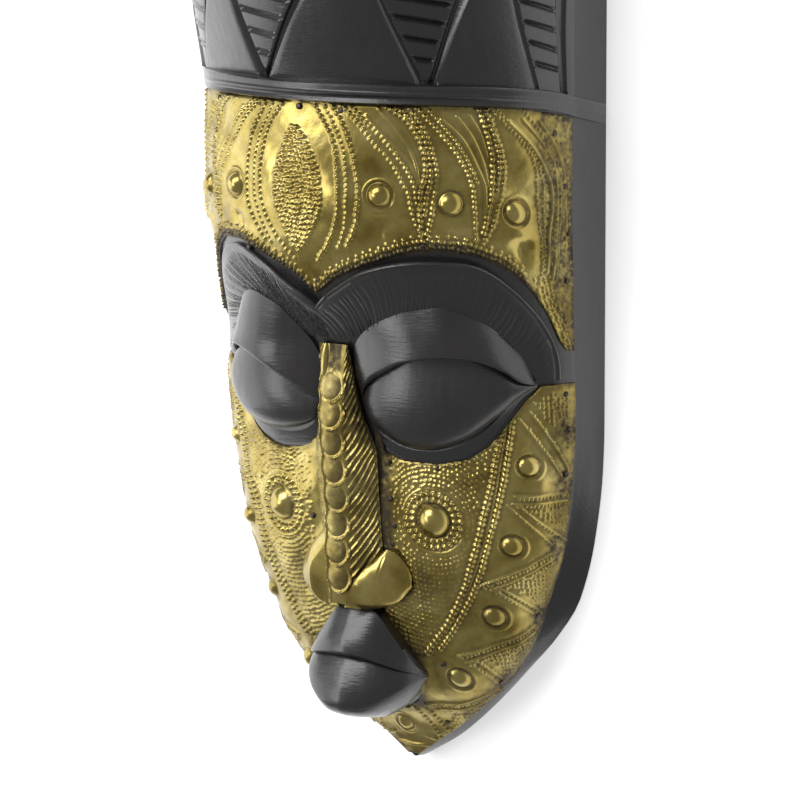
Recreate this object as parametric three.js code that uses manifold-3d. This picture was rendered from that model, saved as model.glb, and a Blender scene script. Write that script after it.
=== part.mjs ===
// A carved wall mask of dark stained wood, dressed with embossed brass sheet.
// Millimetres. It lies on the flat rim of its hollow back: +Z comes out of the
// face, +Y runs from the chin to the headdress, +X is the mask's own left.
import * as THREE from 'three';
import { mergeVertices } from 'three/addons/utils/BufferGeometryUtils.js';
import Module from 'manifold-3d';

const wasm = await Module();
wasm.setup();

// Overall size
const CHIN_Y = -210;
const CROWN_Y = 210;
const HALF_WIDTH = 90;

// Headdress, in rows that droop towards the sides
const BAND_LOW = 79.5;
const BAND_TOP = 88;
const UPPER_BAND_LOW = 148;
const UPPER_BAND_TOP = 157;
const BAND_DROOP = 8;
const FLANK_DROOP = 5;
const HEADDRESS_HALF_WIDTH = 88;

// Hollow back
const WALL = 13.5;
const HOLLOW_LOW = -176;
const HOLLOW_HIGH = 168;

// Brass sheet, nailed on with a hair of air under it
const SHEET_GAP = 0.6;
const SHEET_THICKNESS = 0.9;
const SHEET_MARGIN = 0.8;
const CHIN_SLACK = 0.6;
const NAIL_HEAD_RADIUS = 1.5;
const NAIL_HEAD_HEIGHT = 0.9;
const NAIL_SHANK = 0.5;
const NAIL_LENGTH = 7;

// Face, along the centre line and across: [height on the mask, size]
const BACK_WIDTHS = [[-210, 1.2], [-200.5, 17], [-190, 30], [-177.8, 42.8], [-165, 55],
  [-153.5, 65.7], [-134.9, 78.2], [-108.5, 85.6], [-78.4, 89.4], [-60, 90], [210, 90]];
const FRONT_WIDTHS = [[-210, 0.8], [-203, 10], [-196.6, 18.7], [-190.5, 26.5], [-183.3, 35.2],
  [-167.5, 51.6], [-153, 61], [-138.6, 67], [-125.5, 72.2], [-99, 79.8], [-73, 84.2],
  [-45, 86.8], [80, 87]];
const FLANK_DEPTHS = [[-210, 8.5], [-153, 8.5], [-138.6, 9], [-125.5, 9.6], [-99, 11.8],
  [-73, 14.5], [-40, 17.5], [0, 19.5], [40, 21], [210, 21]];
const FACE_HEIGHTS = [[-210, 9], [-203, 11], [-193, 16.5], [-183, 27], [-172, 38], [-150, 46],
  [-125, 51], [-100, 54.5], [-80, 57], [-57, 59.5], [-45, 61.5], [-35, 63.5], [-25, 66.5],
  [-12, 74], [-2, 80], [10, 85], [25, 90], [42, 93], [60, 92.5], [80, 91]];
const FULLNESS = [[-210, 0.85], [-130, 0.85], [-93, 0.9], [-76, 1], [-50, 1.1], [-29, 1.25],
  [-8, 1.2], [12, 1.12], [35, 1], [210, 1]];
const HEADDRESS_HEIGHTS = [[88, 93.5], [120, 104], [148, 108.5], [157, 109]];

// A smooth curve through [place, size] pairs that never overshoots them.
function profile(pairs) {
  const n = pairs.length;
  const steps = [];
  for (let i = 0; i < n - 1; i++) {
    steps.push((pairs[i + 1][1] - pairs[i][1]) / (pairs[i + 1][0] - pairs[i][0]));
  }
  const slopes = [steps[0]];
  for (let i = 1; i < n - 1; i++) {
    const product = steps[i - 1] * steps[i];
    slopes.push(product <= 0 ? 0 : (2 * product) / (steps[i - 1] + steps[i]));
  }
  slopes.push(steps[n - 2]);
  return (at) => {
    if (at <= pairs[0][0]) return pairs[0][1];
    if (at >= pairs[n - 1][0]) return pairs[n - 1][1];
    let i = 0;
    while (at > pairs[i + 1][0]) i++;
    const h = pairs[i + 1][0] - pairs[i][0];
    const t = (at - pairs[i][0]) / h;
    const a = pairs[i][1] * (1 + 2 * t) * (1 - t) ** 2 + slopes[i] * h * t * (1 - t) ** 2;
    return a + pairs[i + 1][1] * t * t * (3 - 2 * t) + slopes[i + 1] * h * t * t * (t - 1);
  };
}

const backWidth = profile(BACK_WIDTHS);
const frontWidth = profile(FRONT_WIDTHS);
const flankDepth = profile(FLANK_DEPTHS);
const faceHeight = profile(FACE_HEIGHTS);
const fullness = profile(FULLNESS);
const headdressHeight = profile(HEADDRESS_HEIGHTS);

const HALF_TURN = Math.PI / 2;
const clamp = THREE.MathUtils.clamp;
const lerp = THREE.MathUtils.lerp;
const smooth = THREE.MathUtils.smoothstep;

// Half a cross-section of the front, from the middle (angle 0) to its edge.
function facePoint(angle, y) {
  const depth = flankDepth(y);
  const rise = Math.max(Math.cos(angle), 0) ** fullness(y);
  return new THREE.Vector3(frontWidth(y) * Math.sin(angle), y, depth + (faceHeight(y) - depth) * rise);
}

function droop(angle) {
  return BAND_DROOP * (Math.abs(angle) / HALF_TURN) ** 4;
}

function headdressPoint(angle, row, raise = 0) {
  const depth = flankDepth(row);
  const x = (HEADDRESS_HALF_WIDTH + 0.4 * raise) * Math.sin(angle);
  const z = depth + (headdressHeight(row) + raise - depth) * Math.cos(angle);
  return new THREE.Vector3(x, row - droop(angle), z);
}

// Angle on a cross-section for a distance measured along the surface.
function angleAcross(point, across, row) {
  const steps = 90;
  let walked = 0;
  let last = point(0, row);
  for (let i = 1; i <= steps; i++) {
    const next = point((HALF_TURN * i) / steps, row);
    const stride = Math.hypot(next.x - last.x, next.z - last.z);
    if (walked + stride >= Math.abs(across)) {
      const part = (Math.abs(across) - walked) / stride;
      return Math.sign(across) * ((HALF_TURN * (i - 1 + part)) / steps);
    }
    walked += stride;
    last = next;
  }
  return Math.sign(across) * HALF_TURN;
}

function halfSpan(point, row) {
  let walked = 0;
  let last = point(0, row);
  for (let i = 1; i <= 60; i++) {
    const next = point((HALF_TURN * i) / 60, row);
    walked += Math.hypot(next.x - last.x, next.z - last.z);
    last = next;
  }
  return walked;
}

// Point lifted off a surface along its normal.
function lifted(point, angle, row, lift) {
  const inside = clamp(angle, -HALF_TURN + 0.02, HALF_TURN - 0.02);
  const across = point(inside + 0.02, row).sub(point(inside - 0.02, row));
  const along = point(inside, row + 1).sub(point(inside, row - 1));
  const normal = across.cross(along).normalize();
  return point(angle, row).addScaledVector(normal, lift);
}

const onFace = (across, y, lift) => lifted(facePoint, angleAcross(facePoint, across, y), y, lift);
const onHeaddress = (across, row, lift) =>
  lifted(headdressPoint, angleAcross(headdressPoint, across, row), row, lift);

// Triangle list to a closed geometry: corners merged, empty triangles dropped,
// faces turned outwards.
function closed(triangles) {
  const flat = new Float32Array(triangles.length * 9);
  triangles.flat().forEach((p, i) => p.toArray(flat, i * 3));
  const loose = new THREE.BufferGeometry();
  loose.setAttribute('position', new THREE.BufferAttribute(flat, 3));
  const merged = mergeVertices(loose, 1e-3);
  const index = merged.index.array;
  const at = merged.attributes.position;
  const kept = [];
  let volume = 0;
  const [a, b, c] = [new THREE.Vector3(), new THREE.Vector3(), new THREE.Vector3()];
  for (let i = 0; i < index.length; i += 3) {
    const [i0, i1, i2] = [index[i], index[i + 1], index[i + 2]];
    if (i0 === i1 || i1 === i2 || i2 === i0) continue;
    kept.push(i0, i1, i2);
    a.fromBufferAttribute(at, i0);
    b.fromBufferAttribute(at, i1);
    c.fromBufferAttribute(at, i2);
    volume += a.dot(b.cross(c));
  }
  if (volume < 0) {
    for (let i = 0; i < kept.length; i += 3) [kept[i], kept[i + 1]] = [kept[i + 1], kept[i]];
  }
  merged.setIndex(kept);
  return merged;
}

function solid(geometry) {
  const bare = geometry.clone();
  bare.deleteAttribute('normal');
  bare.deleteAttribute('uv');
  const merged = mergeVertices(bare, 1e-4);
  return new wasm.Manifold(new wasm.Mesh({
    numProp: 3,
    vertProperties: new Float32Array(merged.attributes.position.array),
    triVerts: new Uint32Array(merged.index.array),
  }));
}

function geometryOf(body) {
  const mesh = body.getMesh();
  const geometry = new THREE.BufferGeometry();
  geometry.setAttribute('position', new THREE.BufferAttribute(new Float32Array(mesh.vertProperties), 3));
  geometry.setIndex(new THREE.BufferAttribute(new Uint32Array(mesh.triVerts), 1));
  return geometry;
}

const quad = (a, b, c, d) => [[a, b, c], [a, c, d]];

// Closed body through a row of loops that all have the same number of points.
function loft(loops) {
  const triangles = [];
  const count = loops[0].length;
  for (let i = 0; i < loops.length - 1; i++) {
    for (let j = 0; j < count; j++) {
      const k = (j + 1) % count;
      const ring = [loops[i][j], loops[i][k], loops[i + 1][k], loops[i + 1][j]];
      if (j < (count - 2) / 2) ring.push(ring.shift());
      triangles.push(...quad(...ring));
    }
  }
  for (const [loop, flip] of [[loops[0], true], [loops[loops.length - 1], false]]) {
    const outline = loop.map((p) => new THREE.Vector2(p.x, p.z));
    const clockwise = THREE.ShapeUtils.isClockWise(outline);
    for (const [a, b, c] of THREE.ShapeUtils.triangulateShape(outline, [])) {
      triangles.push(flip !== clockwise ? [loop[c], loop[b], loop[a]] : [loop[a], loop[b], loop[c]]);
    }
  }
  return closed(triangles);
}

// Closed body between an upper and a lower grid of points.
function slab(upper, lower) {
  const triangles = [];
  const rows = upper.length - 1;
  const columns = upper[0].length - 1;
  for (let i = 0; i < rows; i++) {
    for (let j = 0; j < columns; j++) {
      triangles.push(...quad(upper[i][j], upper[i + 1][j], upper[i + 1][j + 1], upper[i][j + 1]));
      triangles.push(...quad(lower[i][j], lower[i][j + 1], lower[i + 1][j + 1], lower[i + 1][j]));
    }
  }
  for (let i = 0; i < rows; i++) {
    triangles.push(...quad(upper[i][0], lower[i][0], lower[i + 1][0], upper[i + 1][0]));
    triangles.push(...quad(upper[i + 1][columns], lower[i + 1][columns], lower[i][columns], upper[i][columns]));
  }
  for (let j = 0; j < columns; j++) {
    triangles.push(...quad(upper[0][j + 1], lower[0][j + 1], lower[0][j], upper[0][j]));
    triangles.push(...quad(upper[rows][j], lower[rows][j], lower[rows][j + 1], upper[rows][j + 1]));
  }
  return closed(triangles);
}

// Raised form on the face: shape(s, t) gives [across, height, lift].
function relief(along, over, shape, root = -4) {
  const upper = [];
  const lower = [];
  for (let i = 0; i <= along; i++) {
    const places = [];
    for (let j = 0; j <= over; j++) places.push(shape(i / along, j / over));
    upper.push(places.map(([p, y, lift]) => onFace(p, y, lift)));
    lower.push(places.map(([p, y]) => onFace(p, y, root)));
  }
  return slab(upper, lower);
}

// Even walk along an open outline of [across, height] points.
function path(points) {
  const curve = new THREE.CatmullRomCurve3(
    points.map(([p, y]) => new THREE.Vector3(p, y, 0)), false, 'centripetal');
  return (t) => curve.getPointAt(clamp(t, 0, 1));
}

const mirrored = (geometry) => {
  const copy = geometry.clone();
  copy.scale(-1, 1, 1);
  const index = copy.index.array;
  for (let i = 0; i < index.length; i += 3) [index[i], index[i + 1]] = [index[i + 1], index[i]];
  return copy;
};

// The block of the mask: face below the band, headdress above it.
const ANGLES = [];
for (let i = -11; i <= 11; i++) ANGLES.push((HALF_TURN * i) / 11);

function crossLoop(front, width, row) {
  const fade = smooth(row, -10, 60) * (1 - smooth(row, 160, 205));
  const left = front[0];
  const right = front[front.length - 1];
  const foot = (corner, sign) => new THREE.Vector3(sign * width, corner.y - FLANK_DROOP * fade, 0);
  return [...front, foot(right, 1), foot(left, -1)];
}

function faceLoop(row) {
  const fade = smooth(row, -10, 60);
  const front = ANGLES.map((angle) => facePoint(angle, row - droop(angle) * fade));
  return crossLoop(front, backWidth(row), row);
}

function headdressLoop(row, raise) {
  return crossLoop(ANGLES.map((angle) => headdressPoint(angle, row, raise)), HALF_WIDTH, row);
}

function domeLoop(turn) {
  const shrink = Math.max(Math.cos(turn), 0.06);
  const y = UPPER_BAND_TOP + (CROWN_Y - UPPER_BAND_TOP) * Math.sin(turn);
  const depth = flankDepth(UPPER_BAND_TOP) * (0.35 + 0.65 * shrink);
  const height = depth + (headdressHeight(UPPER_BAND_TOP) - depth) * Math.sqrt(shrink);
  const front = ANGLES.map((angle) => new THREE.Vector3(
    HEADDRESS_HALF_WIDTH * shrink * Math.sin(angle),
    y - droop(angle) * shrink,
    depth + (height - depth) * Math.cos(angle)));
  return crossLoop(front, HALF_WIDTH * shrink, lerp(160, 205, 1 - shrink));
}

const FACE_ROWS = [-210, -205, -200, -195, -190, -185, -179, -173, -166, -156, -144, -130, -112, -92,
  -72, -55, -41, -29, -18, -8, 3, 15, 29, 45, 62, BAND_LOW];
const outerLoops = FACE_ROWS.map(faceLoop);
outerLoops.push(headdressLoop(BAND_LOW + 0.3, 3));
outerLoops.push(headdressLoop(BAND_LOW + 4, 4.5));
outerLoops.push(headdressLoop(BAND_TOP, 3.5));
outerLoops.push(headdressLoop(BAND_TOP + 0.3, 0));
for (const row of [107, 127, UPPER_BAND_LOW]) outerLoops.push(headdressLoop(row, 0));
outerLoops.push(headdressLoop(UPPER_BAND_LOW + 0.3, 2));
outerLoops.push(headdressLoop(UPPER_BAND_TOP, 2));
for (const degrees of [2, 24, 46, 66, 82, 90]) {
  outerLoops.push(domeLoop(THREE.MathUtils.degToRad(degrees)));
}
const block = solid(loft(outerLoops));

// The hollow behind the face, open over its whole back.
function hollowLoop(row) {
  const inner = row < BAND_LOW ? faceHeight(row) : headdressHeight(Math.max(row, BAND_TOP));
  const low = clamp((row - HOLLOW_LOW) / 30, 0, 1);
  const high = clamp((HOLLOW_HIGH - row) / 30, 0, 1);
  const ease = Math.sqrt(1 - (1 - Math.min(low, high)) ** 2) * 0.94 + 0.06;
  const width = (backWidth(row) - WALL) * (0.4 + 0.6 * ease);
  const rise = Math.max((inner - WALL - 2) * ease, 2);
  const front = ANGLES.filter((_, i) => i % 2 === 0).map((angle) => new THREE.Vector3(
    width * Math.sin(angle), row, rise * Math.max(Math.cos(angle), 0) ** 0.9));
  const shift = (p) => new THREE.Vector3(p.x, p.y, -3);
  return [...front, shift(front[front.length - 1]), shift(front[0])];
}

const HOLLOW_ROWS = [HOLLOW_LOW, -168, -155, -130, -90, -55, -28, -8, 12, 35, 75, 100, 135, 155,
  HOLLOW_HIGH];
const hollow = solid(loft(HOLLOW_ROWS.map(hollowLoop)));

// Brow: one band that dips to a notch between the eyes.
const browTop = path([[0, -5], [5, -1], [14, 4.7], [26, 11], [43, 15.2], [59, 15.5], [73.5, 11],
  [85.5, -1.5], [91, -16.5], [93.3, -29], [93.5, -37]]);
const browLow = path([[0, -21], [6, -21], [11, -20], [19, -15.8], [37, -7.6], [50, -4.5], [64, -6],
  [76, -13], [83.5, -24], [88, -35]]);
const browSection = profile([[0, 5], [0.1, 5.2], [0.45, 3.4], [1, 1.6]]);
const brow = relief(28, 3, (s, t) => {
  const side = 2 * s - 1;
  const top = browTop(Math.abs(side));
  const low = browLow(Math.abs(side));
  const across = Math.sign(side) * lerp(top.x, low.x, t);
  return [across, lerp(top.y, low.y, t), browSection(t)];
});

// Eye: a heavy upper lid over the ball, and a thin rim under both.
const lidCrease = path([[9.8, -31], [11, -24], [20, -15], [37, -7], [50, -4], [64, -5.5], [76, -12.5],
  [83.3, -24], [89.2, -35.6]]);
const slit = path([[10.4, -46], [18.4, -36.8], [22, -33], [29, -28], [37, -23.5], [47, -21.2], [58.4, -21.3],
  [68.6, -24.7], [78.6, -31.3], [88.5, -37.6]]);
const eyeLow = path([[11.1, -47.6], [13.8, -57], [22, -63], [29, -66.3], [40, -67.3], [49.4, -64.7],
  [58.7, -60.3], [69.9, -51.3], [79.5, -43], [87.6, -38.2]]);
const rimLow = path([[12.1, -52], [16, -60], [20, -67], [26.5, -70.3], [42, -71.5], [55, -69],
  [64, -63], [72.4, -52.8], [79, -44.7], [86.4, -39]]);

const lidSwell = (s) => Math.sin(Math.PI * clamp(s, 0.001, 0.999)) ** 0.6;
const upperLid = relief(10, 3, (s, t) => {
  const top = lidCrease(s);
  const low = slit(s);
  const swell = 1.5 + 9.5 * lidSwell(s) * Math.sin(HALF_TURN * Math.min(1, 0.12 + t * 1.1)) ** 0.8;
  return [lerp(top.x, low.x, t), lerp(top.y, low.y, t), swell];
});
const eyeball = relief(10, 4, (s, t) => {
  const top = slit(s);
  const low = eyeLow(s);
  const y = lerp(top.y + 7 * lidSwell(s), low.y, t);
  const swell = 0.8 + 9.6 * lidSwell(s) * Math.sqrt(Math.max(0, 1 - (Math.max(0, t - 0.42) / 0.58) ** 2));
  return [lerp(top.x, low.x, t), y, swell];
});
const lowerRim = relief(10, 1, (s, t) => {
  const top = eyeLow(s);
  const low = rimLow(s);
  return [lerp(top.x, low.x, t), lerp(top.y + 3, low.y, t), 2.4 - 0.5 * t];
});

// Nose: a straight ridge with flat top, between two flanks.
const NOSE_TOP = -24.5;
const NOSE_LOW = -136;
const ridgeHeight = profile([[-136, 59.4], [-124.6, 61.7], [-113, 62.9], [-102, 63.6], [-90, 65.9],
  [-79, 68], [-68, 69.2], [-57, 70.5], [-40, 69.5], [-24.5, 67.4]]);
const noseWidth = profile([[-136, 14.6], [-110, 14.2], [-71, 14.6], [-63, 12.6], [-57, 10.2], [-47, 7.9],
  [-40, 7.2], [-24.5, 6.4]]);
const RIDGE_HALF = 4.2;

function faceZ(x, y) {
  return facePoint(Math.asin(clamp(x / frontWidth(y), -1, 1)), y).z;
}

function nosePoint(side, y, grow) {
  const half = noseWidth(y) + grow;
  const x = side * half;
  const base = faceZ(x, y) + 0.2 + 0.8 * grow;
  const crown = ridgeHeight(y) + grow - 0.4 * Math.min(1, Math.abs(x) / RIDGE_HALF);
  const down = clamp((Math.abs(x) - RIDGE_HALF - 0.6 * grow) / (half - RIDGE_HALF - 0.6 * grow), 0, 1);
  return new THREE.Vector3(x, y, lerp(crown, base, down ** 1.35));
}

const NOSE_SIDES = [-1, -0.82, -0.6, -0.31, 0.31, 0.6, 0.82, 1];
const NOSE_ROWS = [NOSE_TOP, -34, -46, -57, -64, -72, -90, -108, -122, NOSE_LOW];

function noseGrid(grow, low, high) {
  const rows = NOSE_ROWS.map((y) => clamp(y, low, high));
  return rows.map((y) => NOSE_SIDES.map((side) => nosePoint(side, y, grow)));
}

const sunk = (grid) => grid.map((row) => row.map((p) => new THREE.Vector3(p.x, p.y, faceZ(p.x, p.y) - 5)));
const noseCore = slab(noseGrid(0, NOSE_LOW + 0.6, NOSE_TOP - 0.6), sunk(noseGrid(0, NOSE_LOW + 0.6, NOSE_TOP - 0.6)));

// Nostril: half a dome beside the end of the nose, cut off flat below.
const wingTop = path([[6, -112], [14, -111], [21, -113], [26, -117.5], [27.5, -122]]);
const wingLow = path([[6, -136.3], [12, -136.3], [18, -135.4], [24, -132.5], [27.5, -127.5]]);

function wingGrid(grow, sides, rows) {
  const grid = [];
  for (let i = 0; i <= sides; i++) {
    const top = wingTop(i / sides);
    const low = wingLow(i / sides);
    const line = [];
    for (let j = 0; j <= rows; j++) {
      const t = j / rows;
      const x = lerp(top.x, low.x, t) + grow * ((2 * i) / sides - 1);
      const y = lerp(top.y + grow, low.y - 0.3 * grow, t);
      const out = 1 - (clamp((x - 6) / (21.5 + grow), 0, 1)) ** 2.2;
      const swell = 12.5 * Math.sqrt(out) * Math.sin(HALF_TURN * Math.min(1, 0.1 + t * 1.15)) ** 0.8;
      line.push(new THREE.Vector3(x, y, faceZ(x, y) + 0.2 + swell * (1 - 0.12 * t) + grow));
    }
    grid.push(line);
  }
  return grid;
}

const wingCore = slab(wingGrid(0, 5, 4), sunk(wingGrid(0, 5, 4)));

// Mouth: a keel-shaped upper lip over a full lower one.
const lipTop = path([[0, -136.6], [8.5, -137.5], [18, -146], [24, -155], [27.8, -166.5]]);
const lipLine = path([[0, -157.5], [9, -158.6], [18, -162], [24.5, -166], [29, -169.5]]);
const lipSeam = path([[0, -156.9], [9, -158], [18, -161.2], [25, -165], [29.6, -168.3]]);
const lipLow = path([[0, -188.5], [9, -187.5], [18, -183.5], [24.5, -177], [29, -171.2]]);
const upperLipHeight = profile([[0, 55], [0.35, 58.5], [0.75, 62], [1, 62.5]]);
const lowerLipHeight = profile([[0, 60.5], [0.12, 64], [0.3, 66], [0.55, 64.5], [0.8, 57], [1, 44]]);

function lip(top, low, height, drop) {
  const upper = [];
  const lower = [];
  for (let i = -6; i <= 6; i++) {
    const s = Math.abs(i) / 6;
    const side = Math.sign(i) || 1;
    const [from, to] = [top(s), low(s)];
    const line = [];
    const under = [];
    for (let j = 0; j <= 4; j++) {
      const t = j / 4;
      const x = side * lerp(from.x, to.x, t);
      const y = lerp(from.y, to.y, t);
      const base = faceZ(x, Math.max(y, -180));
      line.push(new THREE.Vector3(x, y, lerp(base + 1.5, height(t), Math.sqrt(Math.max(0, 1 - s ** 2.4)))));
      under.push(new THREE.Vector3(x, y + drop * t, faceZ(x, y + drop * t) - 5));
    }
    upper.push(line);
    lower.push(under);
  }
  return slab(upper, lower);
}

const upperLip = lip(lipTop, lipLine, upperLipHeight, 0);
const lowerLip = lip(lipSeam, lipLow, lowerLipHeight, 5);

// Zigzag of the headdress: gouged triangles that stand on their points.
// Each is given by its left and right side, low and high, across the headdress.
const TRIANGLES = [[-76, -62, -104, -58], [-18, -9.8, -38.5, 25.5], [53.8, 61.2, 31, 92],
  [104.7, 122, 99, 133], [-124, -116, -133, -112]];
const ZIGZAG_LOW = 89.5;
const ZIGZAG_HIGH = 147;

function gouge(from, to, width, depth) {
  const stations = [];
  for (let i = 0; i <= 2; i++) {
    const t = i / 2;
    const across = lerp(from, to, t);
    const row = lerp(ZIGZAG_LOW - 0.5, ZIGZAG_HIGH + 0.4, t);
    stations.push([onHeaddress(across - width / 2, row, 2), onHeaddress(across + width / 2, row, 2),
      onHeaddress(across + 0.1 * width, row, -depth)]);
  }
  return loft(stations);
}

function recess([lowLeft, lowRight, highLeft, highRight]) {
  const grid = (lift) => [0, 0.5, 1].map((t) => [0, 0.33, 0.67, 1].map((s) => onHeaddress(
    lerp(lerp(lowLeft, highLeft, t), lerp(lowRight, highRight, t), s),
    lerp(ZIGZAG_LOW, ZIGZAG_HIGH, t), lift)));
  return slab(grid(2), grid(-1.2));
}

let wood = block.subtract(hollow);
const carvedForms = [brow, upperLid, mirrored(upperLid), eyeball, mirrored(eyeball), lowerRim,
  mirrored(lowerRim), noseCore, wingCore, mirrored(wingCore), upperLip, lowerLip];
for (const form of carvedForms) wood = wood.add(solid(form));
for (const triangle of TRIANGLES) {
  wood = wood.subtract(solid(recess(triangle)));
  wood = wood.subtract(solid(gouge(triangle[0], triangle[2], 4.5, 2.4)));
  wood = wood.subtract(solid(gouge(triangle[1], triangle[3], 6, 2.6)));
}

// Brass sheets. An outline on the face is a line of [across, height] points.
const browCut = profile([[0, -1.6], [2, -1], [11.6, 5.2], [24, 10.8], [42.5, 16.9], [55, 18.8], [69, 17.6],
  [82.4, 12.2], [93, 2], [97.8, -10], [99, -21], [102, -25.5], [110, -26]]);
const EYE_CUT = [[104, -20], [104, -38.8], [88, -38.8], [81, -45.5], [73.7, -54.2], [64.8, -64.6],
  [56, -70.6], [42, -73.4], [25.6, -72.4], [18.6, -69.2], [17.4, -60], [17.4, -20]];
const MIDDLE_CUT = [[-5, -20], [17.4, -20], [17.4, -109], [23.5, -110.5], [29, -116.5], [30.2, -122],
  [30, -128.5], [26.5, -134.5], [17.5, -139], [15.5, -141.5], [21.5, -148], [27, -156.5], [31.5, -168.5],
  [30, -174], [25, -181], [16, -186.6], [8, -189.6], [-5, -190]];

// Signed distance to a closed outline, positive outside.
function outside(outline, x, y) {
  let nearest = Infinity;
  let inside = false;
  for (let i = 0, j = outline.length - 1; i < outline.length; j = i++) {
    const [ax, ay] = outline[j];
    const [bx, by] = outline[i];
    const t = clamp(((x - ax) * (bx - ax) + (y - ay) * (by - ay)) / ((bx - ax) ** 2 + (by - ay) ** 2), 0, 1);
    nearest = Math.min(nearest, Math.hypot(x - ax - t * (bx - ax), y - ay - t * (by - ay)));
    if (ay > y !== by > y && x < ((bx - ax) * (y - ay)) / (by - ay) + ax) inside = !inside;
  }
  return inside ? -nearest : nearest;
}

const edgeRoom = (across, y) => halfSpan(facePoint, y) - SHEET_MARGIN - Math.abs(across);
const bandEdge = (across, y) => BAND_LOW - 0.8 - droop(angleAcross(facePoint, across, y)) - y;

function foreheadRoom(across, y) {
  const brows = (y - browCut(Math.abs(across))) * 0.8;
  return Math.min(edgeRoom(across, y), bandEdge(across, y), brows);
}

function cheekRoom(across, y) {
  const side = Math.abs(across);
  const rooms = [edgeRoom(across, y), y + 208.3, -39.2 - y, outside(EYE_CUT, side, y)];
  return Math.min(...rooms, outside(MIDDLE_CUT, side, y));
}

// Bent sheet: squares of a net over the face, cut along the sheet's outline.
function sheet(room, left, low, columns, rows, stepX, stepY) {
  const key = (i, j) => `${i},${j}`;
  const depth = new Map();
  for (let i = 0; i <= columns; i++) {
    for (let j = 0; j <= rows; j++) depth.set(key(i, j), room(left + i * stepX, low + j * stepY) || 1e-6);
  }
  const triangles = [];
  const spot = (across, y) => {
    const gap = SHEET_GAP + CHIN_SLACK * (1 - smooth(y, -176, -160));
    return [onFace(across, y, gap + SHEET_THICKNESS), onFace(across, y, gap)];
  };
  for (let i = 0; i < columns; i++) {
    for (let j = 0; j < rows; j++) {
      const corners = [[i, j], [i + 1, j], [i + 1, j + 1], [i, j + 1]];
      const slant = left + (i + 0.5) * stepX > 0 ? [[0, 1, 2], [0, 2, 3]] : [[0, 1, 3], [1, 2, 3]];
      for (const trio of slant) {
        const ring = [];
        trio.forEach((corner, n) => {
          const here = corners[corner];
          const next = corners[trio[(n + 1) % 3]];
          const a = depth.get(key(...here));
          const b = depth.get(key(...next));
          if (a > 0) ring.push({ x: left + here[0] * stepX, y: low + here[1] * stepY, cut: false });
          if (a > 0 !== b > 0) {
            const t = clamp(a / (a - b), 0.03, 0.97);
            const x = left + lerp(here[0], next[0], t) * stepX;
            ring.push({ x, y: low + lerp(here[1], next[1], t) * stepY, cut: true });
          }
        });
        if (ring.length < 3) continue;
        const pairs = ring.map(({ x, y }) => spot(x, y));
        for (let n = 1; n < ring.length - 1; n++) {
          triangles.push([pairs[0][0], pairs[n][0], pairs[n + 1][0]]);
          triangles.push([pairs[0][1], pairs[n + 1][1], pairs[n][1]]);
        }
        for (let n = 0; n < ring.length; n++) {
          const m = (n + 1) % ring.length;
          if (ring[n].cut && ring[m].cut) {
            triangles.push(...quad(pairs[n][0], pairs[n][1], pairs[m][1], pairs[m][0]));
          }
        }
      }
    }
  }
  return closed(triangles);
}

// Bosses pushed up in the sheets: [across, height, dome radius, rise].
const FOREHEAD_BOSSES = [[37, 42, 4.6, 3.2], [66.3, 39, 4.6, 3.2], [93.7, 34.4, 4.6, 3.2]];
const CHEEK_BOSSES = [[38.6, -96.8, 5.6, 4], [80.5, -73.1, 4.4, 2.8], [71, -107.9, 4.4, 2.8],
  [60, -138.2, 4.4, 2.6], [39.5, -168.3, 4.2, 2.4]];

function boss([across, y, radius, rise]) {
  const centre = onFace(across, y, SHEET_GAP + SHEET_THICKNESS);
  const ahead = onFace(across, y, 10).sub(centre).normalize();
  const points = [[0, -0.6], [radius, -0.6], [radius, 0.15], [radius * 0.65, rise * 0.75], [0, rise]];
  const dome = new THREE.LatheGeometry(points.map(([r, h]) => new THREE.Vector2(r, h)), 7);
  dome.applyQuaternion(new THREE.Quaternion().setFromUnitVectors(new THREE.Vector3(0, 1, 0), ahead));
  dome.translate(centre.x, centre.y, centre.z);
  return solid(dome);
}

const bothSides = (places) => places.flatMap(([across, ...rest]) => [[across, ...rest], [-across, ...rest]]);

const foreheadGeometry = sheet(foreheadRoom, -127, -33, 22, 9, 254 / 22, 12.6);
let forehead = solid(foreheadGeometry);
for (const place of bothSides(FOREHEAD_BOSSES)) forehead = forehead.add(boss(place));
const cheekGeometry = sheet(cheekRoom, -110, -211, 22, 20, 10, 8.65);
let cheeks = solid(cheekGeometry);
for (const place of bothSides(CHEEK_BOSSES)) cheeks = cheeks.add(boss(place));

const noseOuter = noseGrid(SHEET_GAP + SHEET_THICKNESS, NOSE_LOW, NOSE_TOP);
const noseInner = noseGrid(SHEET_GAP, NOSE_LOW, NOSE_TOP);
const wingRoom = slab(wingGrid(0.5, 5, 4), sunk(wingGrid(0.5, 5, 4)));
const nose = solid(slab(noseOuter, noseInner)).subtract(solid(wingRoom)).subtract(solid(mirrored(wingRoom)));

// Smooth brass over each nostril, stopping short of the nose sheet.
const nostrilShell = solid(slab(wingGrid(1.6, 5, 4), wingGrid(0.6, 5, 4)));
const noseRoom = slab(noseGrid(SHEET_GAP + SHEET_THICKNESS + 0.5, NOSE_LOW - 3, NOSE_TOP),
  sunk(noseGrid(SHEET_GAP + SHEET_THICKNESS + 0.5, NOSE_LOW - 3, NOSE_TOP)));
const nostril = nostrilShell.subtract(solid(noseRoom));

// Nails: [across, height] on each sheet.
const FOREHEAD_NAILS = [[-52, 76.5], [-20.4, 76.5], [19.9, 76.2], [44.1, 75.6], [112, 66], [112, 4],
  [-112, 66], [-112, 4]];
const CHEEK_NAILS = [[98, -43.5], [88, -107], [57, -170], [21, -101], [-98, -43.5], [-88, -107],
  [-57, -170], [-21, -101]];

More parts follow.
